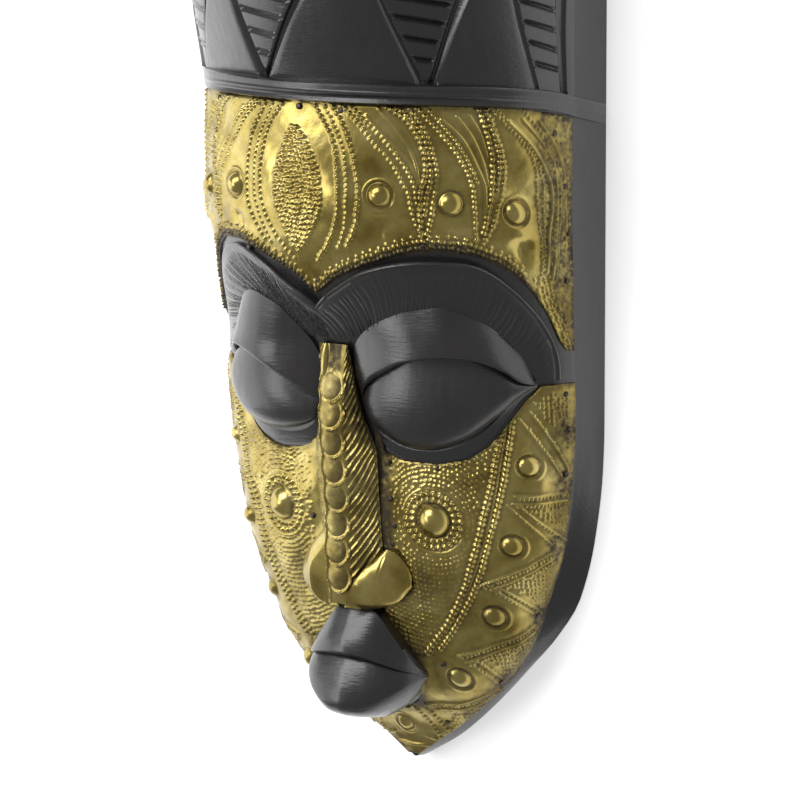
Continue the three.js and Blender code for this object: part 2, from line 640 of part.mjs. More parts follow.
function nailAt(across, y, spare) {
  const base = onFace(across, y, SHEET_GAP + SHEET_THICKNESS + 0.3);
  const ahead = onFace(across, y, 12).sub(base).normalize();
  const shank = NAIL_SHANK + spare;
  const points = spare ? [[0, -NAIL_LENGTH - 0.4], [shank, -NAIL_LENGTH - 0.4], [shank, 2], [0, 2]]
    : [[0, -NAIL_LENGTH], [shank, -NAIL_LENGTH], [shank, 0], [NAIL_HEAD_RADIUS, 0],
      [NAIL_HEAD_RADIUS * 0.7, NAIL_HEAD_HEIGHT * 0.75], [0, NAIL_HEAD_HEIGHT]];
  const lathe = new THREE.LatheGeometry(points.map(([r, h]) => new THREE.Vector2(r, h)), spare ? 4 : 6);
  lathe.applyQuaternion(new THREE.Quaternion().setFromUnitVectors(new THREE.Vector3(0, 1, 0), ahead));
  lathe.translate(base.x, base.y, base.z);
  return geometryOf(solid(lathe));
}

const mask = new THREE.Group();
const paint = {
  wood: () => new THREE.MeshStandardMaterial({ color: '#2e2b2c', roughness: 0.42, metalness: 0 }),
  brass: () => new THREE.MeshStandardMaterial({ color: '#b8a93a', roughness: 0.3, metalness: 1 }),
  iron: () => new THREE.MeshStandardMaterial({ color: '#4b443f', roughness: 0.5, metalness: 1 }),
};

// The largest shell of a body, without the specks that cutting leaves behind.
function mainShell(geometry) {
  const index = geometry.index.array;
  const home = Array.from({ length: geometry.attributes.position.count }, (_, i) => i);
  const find = (i) => {
    while (home[i] !== i) i = home[i] = home[home[i]];
    return i;
  };
  for (let i = 0; i < index.length; i += 3) {
    home[find(index[i])] = find(index[i + 1]);
    home[find(index[i + 1])] = find(index[i + 2]);
  }
  const sizes = new Map();
  for (const i of index) sizes.set(find(i), (sizes.get(find(i)) || 0) + 1);
  const largest = [...sizes].sort((a, b) => b[1] - a[1])[0][0];
  geometry.setIndex([...index].filter((i) => find(i) === largest));
  return geometry;
}

function place(name, geometry, material) {
  const mesh = new THREE.Mesh(geometry, material);
  mesh.name = name;
  geometry.computeVertexNormals();
  mask.add(mesh);
}

const nails = [
  ...FOREHEAD_NAILS.map(([across, y]) => ['forehead', across, y]),
  ...CHEEK_NAILS.map(([across, y]) => ['cheek', across, y]),
];
const counts = {};
for (const [sheetName, across, y] of nails) {
  const hole = solid(nailAt(across, y, 0.35));
  wood = wood.subtract(hole);
  if (sheetName === 'forehead') forehead = forehead.subtract(hole);
  else cheeks = cheeks.subtract(hole);
  counts[sheetName] = (counts[sheetName] || 0) + 1;
  place(`${sheetName}_nail_${counts[sheetName]}`, nailAt(across, y, 0), paint.iron());
}
place('wooden_mask', mainShell(geometryOf(wood)), paint.wood());
place('forehead_sheet', mainShell(geometryOf(forehead)), paint.brass());
place('cheek_and_chin_sheet', mainShell(geometryOf(cheeks)), paint.brass());
place('nose_sheet', mainShell(geometryOf(nose)), paint.brass());
place('nostril_cover_left', mainShell(geometryOf(nostril)), paint.brass());
place('nostril_cover_right', mirrored(mainShell(geometryOf(nostril))), paint.brass());

export default mask;
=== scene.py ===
# A carved wall mask of dark stained wood with embossed brass sheet, lying on its back.
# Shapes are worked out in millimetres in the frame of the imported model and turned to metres
# when a mesh is written. Across is the distance from the middle line along the surface.
import bpy
import math
import numpy as np
from mathutils import Matrix, Vector


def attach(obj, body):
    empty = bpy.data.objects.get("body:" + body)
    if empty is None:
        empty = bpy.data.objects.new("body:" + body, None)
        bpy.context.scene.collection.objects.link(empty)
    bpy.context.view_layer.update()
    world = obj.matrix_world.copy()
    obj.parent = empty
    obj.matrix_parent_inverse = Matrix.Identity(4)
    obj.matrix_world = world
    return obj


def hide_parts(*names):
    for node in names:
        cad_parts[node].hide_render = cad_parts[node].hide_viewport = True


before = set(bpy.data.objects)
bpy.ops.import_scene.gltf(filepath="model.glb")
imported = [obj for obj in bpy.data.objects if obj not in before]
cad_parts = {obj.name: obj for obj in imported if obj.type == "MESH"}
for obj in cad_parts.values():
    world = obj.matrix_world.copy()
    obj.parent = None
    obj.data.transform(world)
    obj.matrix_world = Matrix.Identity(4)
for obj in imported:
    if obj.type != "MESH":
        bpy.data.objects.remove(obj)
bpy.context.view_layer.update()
bpy.ops.object.select_all(action="DESELECT")

QUARTER_TURN, FULL_TURN = math.pi / 2, 2 * math.pi
MM = 0.001
# The mask's left, then its right
SIDES = (1, -1)

BAND_LOW, BAND_TOP = 79.5, 88
UPPER_BAND_LOW, UPPER_BAND_TOP = 148, 157
CROWN_Y = 210
BAND_DROOP, FLANK_DROOP = 8, 5
HEADDRESS_HALF_WIDTH, HALF_WIDTH = 88, 90
WALL = 13.5
HOLLOW_LOW, HOLLOW_HIGH = -176, 168


def profile(pairs):
    """A smooth curve through (place, size) pairs that never overshoots them."""
    x, y = np.array(pairs, float).T
    h = np.diff(x)
    steps = np.diff(y) / h
    slopes = np.zeros(len(x))
    slopes[0], slopes[-1] = steps[0], steps[-1]
    product = steps[:-1] * steps[1:]
    total = steps[:-1] + steps[1:]
    slopes[1:-1] = np.where(product > 0, 2 * product / np.where(total == 0, 1, total), 0)

    def at(place):
        place = np.clip(np.asarray(place, float), x[0], x[-1])
        i = np.clip(np.searchsorted(x, place, side="right") - 1, 0, len(x) - 2)
        t = (place - x[i]) / h[i]
        low = y[i] * (1 + 2 * t) * (1 - t) ** 2 + slopes[i] * h[i] * t * (1 - t) ** 2
        return low + y[i + 1] * t * t * (3 - 2 * t) + slopes[i + 1] * h[i] * t * t * (t - 1)
    return at


# Sizes of the face and of the headdress, along the middle line: (height on the mask, size)
back_width = profile([(-210, 1.2), (-200.5, 17), (-190, 30), (-177.8, 42.8), (-165, 55), (-153.5, 65.7),
    (-134.9, 78.2), (-108.5, 85.6), (-78.4, 89.4), (-60, 90), (210, 90)])
front_width = profile([(-210, 0.8), (-203, 10), (-196.6, 18.7), (-190.5, 26.5), (-183.3, 35.2),
    (-167.5, 51.6), (-153, 61), (-138.6, 67), (-125.5, 72.2), (-99, 79.8), (-73, 84.2), (-45, 86.8),
    (80, 87)])
flank_depth = profile([(-210, 8.5), (-153, 8.5), (-138.6, 9), (-125.5, 9.6), (-99, 11.8), (-73, 14.5),
    (-40, 17.5), (0, 19.5), (40, 21), (210, 21)])
face_height = profile([(-210, 9), (-203, 11), (-193, 16.5), (-183, 27), (-172, 38), (-150, 46), (-125, 51),
    (-100, 54.5), (-80, 57), (-57, 59.5), (-45, 61.5), (-35, 63.5), (-25, 66.5), (-12, 74), (-2, 80),
    (10, 85), (25, 90), (42, 93), (60, 92.5), (80, 91)])
fullness = profile([(-210, 0.85), (-130, 0.85), (-93, 0.9), (-76, 1), (-50, 1.1), (-29, 1.25), (-8, 1.2),
    (12, 1.12), (35, 1), (210, 1)])
headdress_height = profile([(88, 93.5), (120, 104), (148, 108.5), (157, 109)])


def unit(value):
    return np.clip(value, 0, 1)


def smooth(value, low, high):
    t = unit((value - low) / (high - low))
    return t * t * (3 - 2 * t)


def mix(a, b, t):
    return a + (b - a) * t


def even(*values):
    return np.broadcast_arrays(*[np.asarray(v, float) for v in values])


# The mask's right temple was carved flatter than its left one, and its right headdress fuller
FAR_TEMPLE, FAR_HEADDRESS = 3.0, 2.2


def face_point(angle, y):
    angle, y = even(angle, y)
    depth = flank_depth(y)
    rise = unit(np.cos(angle)) ** fullness(y)
    flat_side = FAR_TEMPLE * smooth(-angle, 0.5, 1.1) * smooth(y, -70, 70)
    return np.stack([front_width(y) * np.sin(angle) + flat_side, y,
                     depth + (face_height(y) - depth) * rise], -1)


def droop(angle):
    return BAND_DROOP * (np.abs(angle) / QUARTER_TURN) ** 4


def headdress_point(angle, row, lift=0.0):
    angle, row, lift = even(angle, row, lift)
    depth = flank_depth(row)
    x = (HEADDRESS_HALF_WIDTH + 0.4 * lift) * np.sin(angle)
    z = depth + (headdress_height(row) + lift - depth) * np.cos(angle)
    full_side = smooth(-angle, 0.5, 1.0) * (1 - smooth(-angle, 1.2, 1.57)) * smooth(row, 88, 125)
    return np.stack([x - FAR_HEADDRESS * full_side, row - droop(angle), z], -1)


def ruler(point, low, high):
    """Turns a distance measured along a cross-section into its angle, and gives its half span."""
    rows = np.arange(low, high + 0.5, 0.5)
    turns = np.linspace(0, QUARTER_TURN, 241)
    spots = point(turns[None, :], rows[:, None])
    steps = np.hypot(np.diff(spots[..., 0], axis=1), np.diff(spots[..., 2], axis=1))
    walked = np.concatenate([np.zeros((len(rows), 1)), np.cumsum(steps, axis=1)], axis=1)
    share = np.linspace(0, 1, 401)
    angles = np.array([np.interp(share * w[-1], w, turns) for w in walked])
    spans = walked[:, -1]

    def angle(across, row):
        across, row = even(across, row)
        r = np.clip((row - low) / 0.5, 0, len(rows) - 1.001)
        i = r.astype(int)
        f = r - i
        span = spans[i] * (1 - f) + spans[i + 1] * f
        s = unit(np.abs(across) / span) * 400
        j = np.minimum(s.astype(int), 399)
        g = s - j
        here = angles[i, j] * (1 - g) + angles[i, j + 1] * g
        there = angles[i + 1, j] * (1 - g) + angles[i + 1, j + 1] * g
        return np.sign(across) * (here * (1 - f) + there * f)

    def half_span(row):
        return np.interp(row, rows, spans)
    return angle, half_span


face_angle, face_span = ruler(face_point, -210, 92)
headdress_angle, _ = ruler(headdress_point, 79, 160)


def lifted(point, angle, row, lift):
    """Point lifted off a surface along its normal."""
    angle, row, lift = even(angle, row, lift)
    inside = np.clip(angle, -QUARTER_TURN + 0.02, QUARTER_TURN - 0.02)
    across = point(inside + 0.02, row) - point(inside - 0.02, row)
    along = point(inside, row + 1) - point(inside, row - 1)
    normal = np.cross(across, along)
    normal /= np.linalg.norm(normal, axis=-1, keepdims=True)
    return point(angle, row) + normal * lift[..., None]


def on_face(across, y, lift):
    return lifted(face_point, face_angle(across, y), y, lift)


def on_headdress(across, row, lift):
    return lifted(headdress_point, headdress_angle(across, row), row, lift)


def path(points):
    """Even walk along an open outline: shares of its length to places on it."""
    spots = np.array(points, float)
    ends = [2 * spots[0] - spots[1], *spots, 2 * spots[-1] - spots[-2]]
    walk = []
    for a, b, c, d in zip(ends[:-3], ends[1:-2], ends[2:-1], ends[3:]):
        knots = [0.0]
        for one, two in ((a, b), (b, c), (c, d)):
            knots.append(knots[-1] + max(np.linalg.norm(two - one) ** 0.5, 1e-6))
        t = np.linspace(knots[1], knots[2], 24, endpoint=False)[:, None]
        line = [a, b, c, d]
        for spans in (((0, 1), (1, 2), (2, 3)), ((0, 2), (1, 3)), ((1, 2),)):
            line = [((knots[j] - t) * one + (t - knots[i]) * two) / (knots[j] - knots[i])
                    for (i, j), one, two in zip(spans, line, line[1:])]
        walk += line
    walk = np.concatenate(walk + [spots[-1:]])
    lengths = np.concatenate([[0], np.cumsum(np.linalg.norm(np.diff(walk, axis=0), axis=1))])

    def at(share):
        place = unit(np.asarray(share, float)) * lengths[-1]
        return np.interp(place, lengths, walk[:, 0]), np.interp(place, lengths, walk[:, 1])
    at.length = lengths[-1]
    return at


# Meshes

def only(piece):
    bpy.ops.object.select_all(action="DESELECT")
    piece.select_set(True)
    bpy.context.view_layer.objects.active = piece


def values_of(items, name, size, kind=float):
    """One value, or a row of them, from each of a mesh's items."""
    out = np.empty(len(items) * size, kind)
    items.foreach_get(name, out)
    return out.reshape(-1, size)


def places_of(piece):
    return values_of(piece.data.vertices, "co", 3)


def move_to(piece, places):
    piece.data.vertices.foreach_set("co", np.asarray(places, float).ravel() * MM)
    piece.data.update()


def mode(name):
    bpy.ops.object.mode_set(mode=name)


def net(name, columns, rows):
    """A flat net with one vertex for each pair of column and row."""
    bpy.ops.object.select_all(action="DESELECT")
    bpy.ops.mesh.primitive_grid_add(x_subdivisions=len(columns) - 1, y_subdivisions=len(rows) - 1, size=2)
    piece = bpy.context.object
    piece.name = piece.data.name = name
    return piece


def places_in_net(piece, columns, rows):
    """The column and the row that each vertex of a net stands for, and its height."""
    spots = places_of(piece)
    i = np.rint((spots[:, 0] + 1) / 2 * (len(columns) - 1)).astype(int)
    j = np.rint((spots[:, 1] + 1) / 2 * (len(rows) - 1)).astype(int)
    return i, j, spots[:, 2]


def slab(name, columns, rows, place):
    """Closed body whose upper and lower skins are nets; place gives each corner in mm."""
    piece = net(name, columns, rows)
    mode("EDIT")
    bpy.ops.mesh.select_all(action="SELECT")
    bpy.ops.mesh.extrude_region_move(TRANSFORM_OT_translate={"value": (0, 0, 1)})
    mode("OBJECT")
    i, j, height = places_in_net(piece, columns, rows)
    move_to(piece, place(np.asarray(columns)[i], np.asarray(rows)[j], height > 0.5))
    mode("EDIT")
    bpy.ops.mesh.select_all(action="SELECT")
    bpy.ops.mesh.remove_doubles(threshold=1e-7)
    bpy.ops.mesh.normals_make_consistent(inside=False)
    mode("OBJECT")
    if volume_of(piece) < 0:
        mode("EDIT")
        bpy.ops.mesh.flip_normals()
        mode("OBJECT")
    return piece


def volume_of(piece):
    """Six times the volume inside a closed mesh, negative when its faces look inward."""
    piece.data.calc_loop_triangles()
    corners = values_of(piece.data.loop_triangles, "vertices", 3, int)
    a, b, c = places_of(piece)[corners].transpose(1, 0, 2)
    return (np.cross(a, b) * c).sum()


def combine(piece, other, operation):
    """Joins a body to a piece or cuts it away, and drops the body."""
    only(piece)
    bpy.ops.object.modifier_add(type="BOOLEAN")
    step = piece.modifiers[-1]
    step.operation = operation
    step.solver = "MANIFOLD"
    step.object = other
    bpy.ops.object.modifier_apply(modifier=step.name)
    old = other.data
    bpy.data.objects.remove(other)
    bpy.data.meshes.remove(old)


def shade(piece, degrees):
    only(piece)
    bpy.ops.object.shade_smooth_by_angle(angle=math.radians(degrees))


def spread(*stops):
    """Even steps between stops: (place, step up to the next stop), ..., last place."""
    values = []
    for (low, step), high in zip(stops[:-1], [s[0] if isinstance(s, tuple) else s for s in stops[1:]]):
        count = max(1, round((high - low) / step))
        values.extend(np.linspace(low, high, count, endpoint=False))
    values.append(stops[-1])
    return np.array(values, float)


def uneven(x, y, size, seed, z=0.0):
    """Slow unevenness from a few waves, the same at each run."""
    draw = np.random.default_rng(seed)
    total = np.zeros(np.shape(x))
    for _ in range(9):
        turn = draw.normal(size=3)
        turn *= draw.uniform(0.6, 1.7) / np.linalg.norm(turn)
        total = total + np.sin((x * turn[0] + y * turn[1] + z * turn[2]) * FULL_TURN / size
                               + draw.uniform(0, FULL_TURN))
    return total / 3


# The block: face below the band, headdress above it

# Sections of the two bands across the headdress: (row, lift)
BAND_SECTION = [(79.7, 2.2), (80.2, 3.4), (81.0, 3.0), (81.8, 2.6), (82.5, 2.8), (83.0, 3.7), (83.5, 4.3),
    (84.1, 4.4), (84.6, 3.9), (85.1, 3.7), (86.2, 4.0), (87.2, 3.8), (87.8, 3.0), (88.0, 1.8)]
UPPER_SECTION = [(148.2, 1.2), (148.7, 2.0), (150, 2.4), (152.5, 2.6), (155, 2.4), (156.4, 2.0), (157, 1.6)]
# How far the block lies below the headdress where the zigzag's ring covers it
ZIGZAG_BED = -4.5
# How far past a quarter turn an angle runs while its point goes down the flank
FLANK_TURN = 0.2
FLANK_BOW = 0.8
DOME_LENGTH = CROWN_Y - UPPER_BAND_TOP
NARROWEST_DOME = 0.06


def cross_section(angle, front, width, fade):
    """Front of one row with its two flanks; angles past a quarter turn run down the flank."""
    edge_angle = np.clip(angle, -QUARTER_TURN, QUARTER_TURN)
    edge = front(edge_angle)
    down = unit((np.abs(angle) - QUARTER_TURN) / FLANK_TURN)
    bow = FLANK_BOW * np.sin(math.pi * down)
    out = edge.copy()
    out[:, 0] = mix(edge[:, 0], np.sign(angle) * width, down ** 1.2) + np.sign(angle) * bow
    out[:, 1] = edge[:, 1] - FLANK_DROOP * fade * down
    out[:, 2] = edge[:, 2] * (1 - down)
    return out


def block_place(angle, row, upper):
    """Rows up to BAND_LOW lie on the face, up to UPPER_BAND_TOP on the headdress, the rest on the dome."""
    spots = np.zeros((len(angle), 3))
    for value in np.unique(row):
        pick = row == value
        turn = angle[pick]
        if value <= BAND_LOW:
            fade = smooth(value, -10, 60)
            front = lambda a: face_point(a, value - droop(a) * fade)
            spots[pick] = cross_section(turn, front, back_width(value), fade)
        elif value <= UPPER_BAND_TOP:
            section = BAND_SECTION if value <= BAND_TOP else UPPER_SECTION
            lift = np.interp(value, *zip(*section))
            if BAND_TOP < value < UPPER_BAND_LOW:
                lift = ZIGZAG_BED
            thin = lift + 0.5 + 0.19 * (BAND_TOP - value) if lift > 0 and value <= BAND_TOP else 0
            front = lambda a: headdress_point(a, value, lift - thin * smooth(-a, 0.55, 1.0))
            spots[pick] = cross_section(turn, front, HALF_WIDTH, 1.0)
        else:
            spots[pick] = dome_place(turn, value)
    flat = ~upper
    spots[flat, 2] = 0
    foot = np.where(row <= BAND_LOW, back_width(np.minimum(row, BAND_LOW)), HALF_WIDTH)
    foot = foot * np.where(row > UPPER_BAND_TOP, dome_shrink(np.maximum(row, UPPER_BAND_TOP)), 1)
    spots[flat, 0] = (foot * angle / (QUARTER_TURN + FLANK_TURN))[flat]
    return spots


def dome_turn(row):
    return QUARTER_TURN * (row - UPPER_BAND_TOP) / DOME_LENGTH


def dome_shrink(row):
    """Width of the dome at a row, as a share of the headdress's."""
    return np.maximum(np.cos(dome_turn(row)), NARROWEST_DOME)


def dome_place(angle, value):
    shrink = float(dome_shrink(value))
    y = UPPER_BAND_TOP + DOME_LENGTH * math.sin(dome_turn(value))
    depth = flank_depth(UPPER_BAND_TOP) * (0.35 + 0.65 * shrink)
    height = depth + (headdress_height(UPPER_BAND_TOP) - depth) * math.sqrt(shrink)
    front = lambda a: np.stack([HEADDRESS_HALF_WIDTH * shrink * np.sin(a), y - droop(a) * shrink,
                                depth + (height - depth) * np.cos(a)], -1)
    fade = 1 - smooth(mix(160, 205, 1 - shrink), 160, 205)
    return cross_section(angle, front, HALF_WIDTH * shrink, fade)


# Length of the hollow's rounded ends, and how far its cutter starts below the rim
HOLLOW_END, BELOW_RIM = 30, -3


def hollow_place(angle, row, upper):
    """The hollow behind the mask, rounded at both ends and left from the gouge."""
    inner = np.where(row < BAND_LOW, face_height(row), headdress_height(np.maximum(row, BAND_TOP)))
    low = unit((row - HOLLOW_LOW) / HOLLOW_END)
    high = unit((HOLLOW_HIGH - row) / HOLLOW_END)
    ease = np.sqrt(1 - (1 - np.minimum(low, high)) ** 2) * 0.94 + 0.06
    width = (back_width(row) - WALL) * (0.4 + 0.6 * ease)
    rise = np.maximum((inner - WALL - 2) * ease, 2)
    x = width * np.sin(angle)
    cut = rise * unit(np.cos(angle)) ** 0.9
    gouged = cut + 0.5 * uneven(x, row, 26, 5, cut) * unit(cut / 10)
    return np.stack([x, row, np.where(upper, gouged, BELOW_RIM)], -1)


# Zigzag of the headdress: sunk triangles, each by its left and right side, low and high
TRIANGLES = [(-126, -113.5, -136, -106), (-80, -69, -104, -36), (-19.4, -14.6, -37.7, 27),
    (53.6, 61.2, 36, 92), (104.7, 122, 99, 133)]
ZIGZAG_LOW, ZIGZAG_HIGH = 89.5, 147


# Where columns stand beside a triangle's left side and across its wider right groove
LEFT_PLACES = (-1.3, -0.5, 0.3, 1.0, 1.8, 2.6)
RIGHT_PLACES = (-6.6, -5.2, -4.0, -2.8, -1.8, -1.0, 0.0, 0.9)
GROOVE_TAPER = 0.55
WIDEST_COLUMN = 2.2


def zigzag_columns():
    """Columns that lean with the sides of the triangles: across at the low and the high row."""
    ends = [(-136.0, -137.0), (136.0, 137.0)]
    for left_low, right_low, left_high, right_high in TRIANGLES:
        ends += [(left_low + place, left_high + place) for place in LEFT_PLACES]
        ends += [(right_low + place * GROOVE_TAPER, right_high + place) for place in RIGHT_PLACES]
    ends = np.array(sorted(ends, key=sum))
    columns = []
    for here, after in zip(ends[:-1], ends[1:]):
        count = max(1, math.ceil((after - here).max() / WIDEST_COLUMN))
        columns += [mix(here, after, t) for t in np.arange(count) / count]
    return np.array(columns + [ends[-1]])


# Rows of the paired lines cut inside the triangles
INCISED = (98, 106.2, 114.4, 122.6, 130.8, 139)


def line_slant(across, row):
    """How far the incised lines stand above or below their row: each falls across its triangle."""
    lean = np.zeros(len(across))
    for value in np.unique(row):
        t = (value - ZIGZAG_LOW) / (ZIGZAG_HIGH - ZIGZAG_LOW)
        sides, leans = [], []
        for left_low, right_low, left_high, right_high in TRIANGLES:
            left, right = mix(left_low, left_high, t), mix(right_low, right_high, t)
            sides += [left, right]
            leans += [0.07 * (right - left), -0.07 * (right - left)]
        pick = row == value
        lean[pick] = np.interp(across[pick], sides, leans)
    return lean * unit(np.minimum(row - ZIGZAG_LOW, ZIGZAG_HIGH - row) / 12)


def sunk(across, row, line_row):
    """Depth of the sunk triangles, their side grooves and the paired lines inside them."""
    t = (row - ZIGZAG_LOW) / (ZIGZAG_HIGH - ZIGZAG_LOW)
    depth = np.zeros(np.shape(across))
    for left_low, right_low, left_high, right_high in TRIANGLES:
        left = mix(left_low, left_high, t)
        right = mix(right_low, right_high, t)
        inside = (across > left) & (across < right)
        floor = 1.2 * unit(np.minimum(across - left, right - across) / 0.8 + 0.5)
        depth = np.maximum(depth, floor)
        depth = np.maximum(depth, 1.9 * unit(1.2 - np.abs(across - left - 0.5) / 1.8))
        away = right - across
        wide = 0.55 + 0.45 * t
        slope = np.minimum(0.45 + 0.55 * away / (2.8 * wide), (6.6 * wide - away) / (2.6 * wide))
        groove = np.where(away < 0, 0.45 * unit(1 + away / 0.8), unit(slope))
        depth = np.maximum(depth, 2.9 * groove)
        room = unit(np.minimum(across - left - 2.0, right - 6.4 * wide - across))
        for line in INCISED:
            away = np.abs(line_row - line)
            bank = 0.6 * unit(1 - np.abs(away - 1.15) / 0.45)
            cut = 0.9 * unit(1 - away / 0.8) - bank
            depth = np.where(inside, depth + cut * room, depth)
    return depth


# The ring that carries the zigzag: tucked below the band's skin, and rooted in the block
UNDER_BAND, TUCKED, RING_ROOT = 87.5, 2.5, -9


def carve_block():
    flank = QUARTER_TURN + np.array([0.02, 0.07, 0.14, FLANK_TURN])
    angles = np.concatenate([-flank[::-1], np.linspace(-QUARTER_TURN, QUARTER_TURN, 121), flank])
    rows = list(spread((-210, 2.0), (-196, 3.5), (-160, 5), (60, 3), 79.3)) + [79.5]
    rows += [s[0] for s in BAND_SECTION] + [88.3, 105, 125, 147.9] + [s[0] for s in UPPER_SECTION]
    rows += list(np.linspace(UPPER_BAND_TOP + 0.3, CROWN_Y, 34))
    block = slab("carved_mask", angles, rows, block_place)
    hollow = slab("hollow", np.linspace(-QUARTER_TURN, QUARTER_TURN, 33),
                  spread((HOLLOW_LOW, 4), (-150, 10), (140, 5), HOLLOW_HIGH), hollow_place)
    combine(block, hollow, "DIFFERENCE")
    columns = zigzag_columns()
    above_line = np.array([0.35, 0.75, 1.15, 1.55, 2.0, 2.5, 3.2, 4])
    near_line = np.concatenate([-above_line[::-1], [0], above_line])
    ring_rows = np.sort(np.concatenate(
        [[86.2, 87.3, 87.7, 88.4, 89.5, 91, 93, 95], *(line + near_line for line in INCISED[:4]),
         [101.9, 110.2, 118.5, 129, 130.1, 130.8, 131.5, 132.6, 136, 137.2, 138.3, 139, 139.7, 140.8,
          145.5, 147, 147.5, 150]]))

    def ring_place(column, row, upper):
        i = np.rint(column).astype(int)
        lean = 0
        for _ in range(2):
            t = unit((row + lean - ZIGZAG_LOW) / (ZIGZAG_HIGH - ZIGZAG_LOW))
            across = mix(columns[i, 0], columns[i, 1], t)
            lean = line_slant(across, row)
        end = unit((ZIGZAG_HIGH - row) / 0.5 + 1)
        depth = np.where(row < UNDER_BAND, TUCKED, sunk(across, row + lean, row) * end)
        lift = np.where(upper, -depth, RING_ROOT)
        return on_headdress(across, row + lean, lift)
    ring = slab("zigzag", np.arange(len(columns)), ring_rows, ring_place)
    combine(block, ring, "UNION")
    return block


# How deep a relief on the face is rooted in the block
RELIEF_ROOT = -4.0


def relief(name, along, over, shape):
    """Raised form on the face: shape(s, t) gives across, height and lift."""
    def place(s, t, upper):
        across, y, lift = even(*shape(s, t))
        return on_face(across, y, np.where(upper, lift, RELIEF_ROOT))
    return slab(name, along, over, place)


def paths(*outlines):
    return [path(points) for points in outlines]


def between(top, low, share, t):
    """Place at a share along two outlines, and t of the way from the upper to the lower one."""
    (top_x, top_y), (low_x, low_y) = top(share), low(share)
    return mix(top_x, low_x, t), mix(top_y, low_y, t)


def by_side(near, pair, share):
    return np.where(near, pair[0](share), pair[1](share))


# Brow and eyes: outlines as (across, height), first of the mask's left side, then of its right,
# which was carved a little narrower
BROW_TOPS = paths(
    [(0, -5), (5, -1), (14, 4.7), (26, 11), (43, 15.2), (59, 15.7), (74, 13), (88, 0), (94.5, -13),
     (96.5, -29), (96, -37)],
    [(0, -5), (5, -1), (13, 4.2), (19.5, 8.6), (29.5, 13.5), (36, 15.5), (43, 16), (53, 14), (61.4, 10.5),
     (72, 2), (82, -11), (88, -24), (91, -37)])
BROW_LOWS = paths(
    [(0, -21), (6, -21), (11, -20), (19, -15.8), (37, -8.2), (45, -6.6), (54, -5.4), (61, -8), (71.5, -14),
     (77, -21.5), (81.5, -29.5), (86, -38)],
    [(0, -21), (6, -21), (11, -21), (15.5, -17.5), (19.5, -13.6), (23.4, -9.6), (29, -7.2), (36, -4.8),
     (42, -4.8), (50, -8.8), (57, -17), (62, -27), (66, -38)])
LID_CREASES = paths(
    [(7.8, -37), (8.6, -30), (11, -23), (20, -15), (37, -7.5), (44.8, -6), (54, -4.8), (61.2, -7.5),
     (71.7, -13.5), (77.3, -21), (81.9, -29), (85, -37)],
    [(7.8, -37), (8.6, -30), (11.4, -23.5), (15.9, -17), (19.6, -13), (23.4, -9), (29, -6.5), (36, -4),
     (42, -4), (50, -8), (57, -16), (61.5, -26), (64, -35)])
SLITS = paths(
    [(10.4, -46), (13.5, -41.5), (18.5, -36.8), (26, -32), (33.3, -27.3), (39.8, -24.6), (47.2, -22.6),
     (53.1, -22.5), (59.7, -24), (66.3, -27.5), (72.5, -32), (78, -37), (85.5, -39.2)],
    [(10.4, -49), (15.4, -46.5), (23, -41), (32, -35), (37.5, -31.5), (42, -29), (47, -27.6), (52, -27.5),
     (58, -30), (64, -36.5)])
EYE_LOWS = paths(
    [(11.1, -47.6), (13.8, -57), (22, -63), (29, -66.3), (40, -67.3), (49.4, -64.7), (58.7, -60.3),
     (69.9, -51.3), (79.5, -43), (86, -39.6)],
    [(11.1, -51), (13, -57), (17, -60), (30, -63.8), (43, -64), (54.3, -61), (61.5, -55), (65.5, -47),
     (66, -38)])
RIM_LOWS = paths(
    [(12.1, -52), (16, -60), (20, -67), (26.5, -70.3), (42, -71.5), (55, -69), (64, -63), (72.4, -52.8),
     (79, -44.7), (85.5, -40)],
    [(12.1, -56), (14, -64), (20, -68.6), (28, -70), (38.3, -70.5), (44, -69.4), (50, -67), (55.5, -63),
     (62, -56), (67, -48), (68, -39)])
# Section of the brow from its upper edge down: (distance, lift)
BROW_SECTION = profile([(0, 2.6), (0.5, 3.7), (1.0, 4.1), (1.6, 3.7), (2.2, 3.1), (3.2, 3.4), (6, 3.3),
    (10, 2.6), (15, 2.0), (26, 1.4)])


def hair(along, over, near):
    """Slanting strokes cut with a small gouge; deeper near the nose and on the far brow."""
    pitch = np.where(near, 2.9, 2.3)
    lean = np.where(near, along - 0.75 * over + 0.016 * over * over, along + 0.15 * over + 0.02 * over * over)
    wander = 0.5 * np.sin(lean * 0.83 + 1.3) + 0.35 * np.sin(lean * 0.31 + over * 0.2)
    count = np.floor((lean + wander) / pitch)
    phase = (lean + wander) / pitch - count
    stroke = unit(1 - np.abs(phase - 0.5) / 0.26)
    chance = np.sin(count * 12.9898) * 0.5 + 0.5
    start = 2.6 + 2.5 * chance
    strength = np.where(near, mix(0.5, 0.25, smooth(along, 25, 60)), 1.05) * (0.6 + 0.5 * chance)
    return stroke * strength * smooth(over, start, start + 2.5)


def carve_brow(mask):
    def shape(s, t):
        near = s >= 0
        share = np.abs(s)
        top_x, top_y = by_side(near, BROW_TOPS, share)
        low_x, low_y = by_side(near, BROW_LOWS, share)
        over = t * np.hypot(top_x - low_x, top_y - low_y)
        height = np.where(near, mix(1, 0.55, smooth(share, 0.45, 0.9)), mix(1, 0.12, smooth(share, 0.1, 0.5)))
        along = share * BROW_TOPS[0].length
        lift = 0.6 + (BROW_SECTION(over) - 0.6) * height
        lift = lift - hair(along, over, near) * mix(0.6, 1, height)
        return np.sign(s) * mix(top_x, low_x, t), mix(top_y, low_y, t), lift
    over = np.concatenate([[0, 0.018, 0.036, 0.055, 0.075, 0.1, 0.13], np.linspace(0.165, 1, 20)])
    combine(mask, relief("brow", np.linspace(-1, 1, 661), over, shape), "UNION")


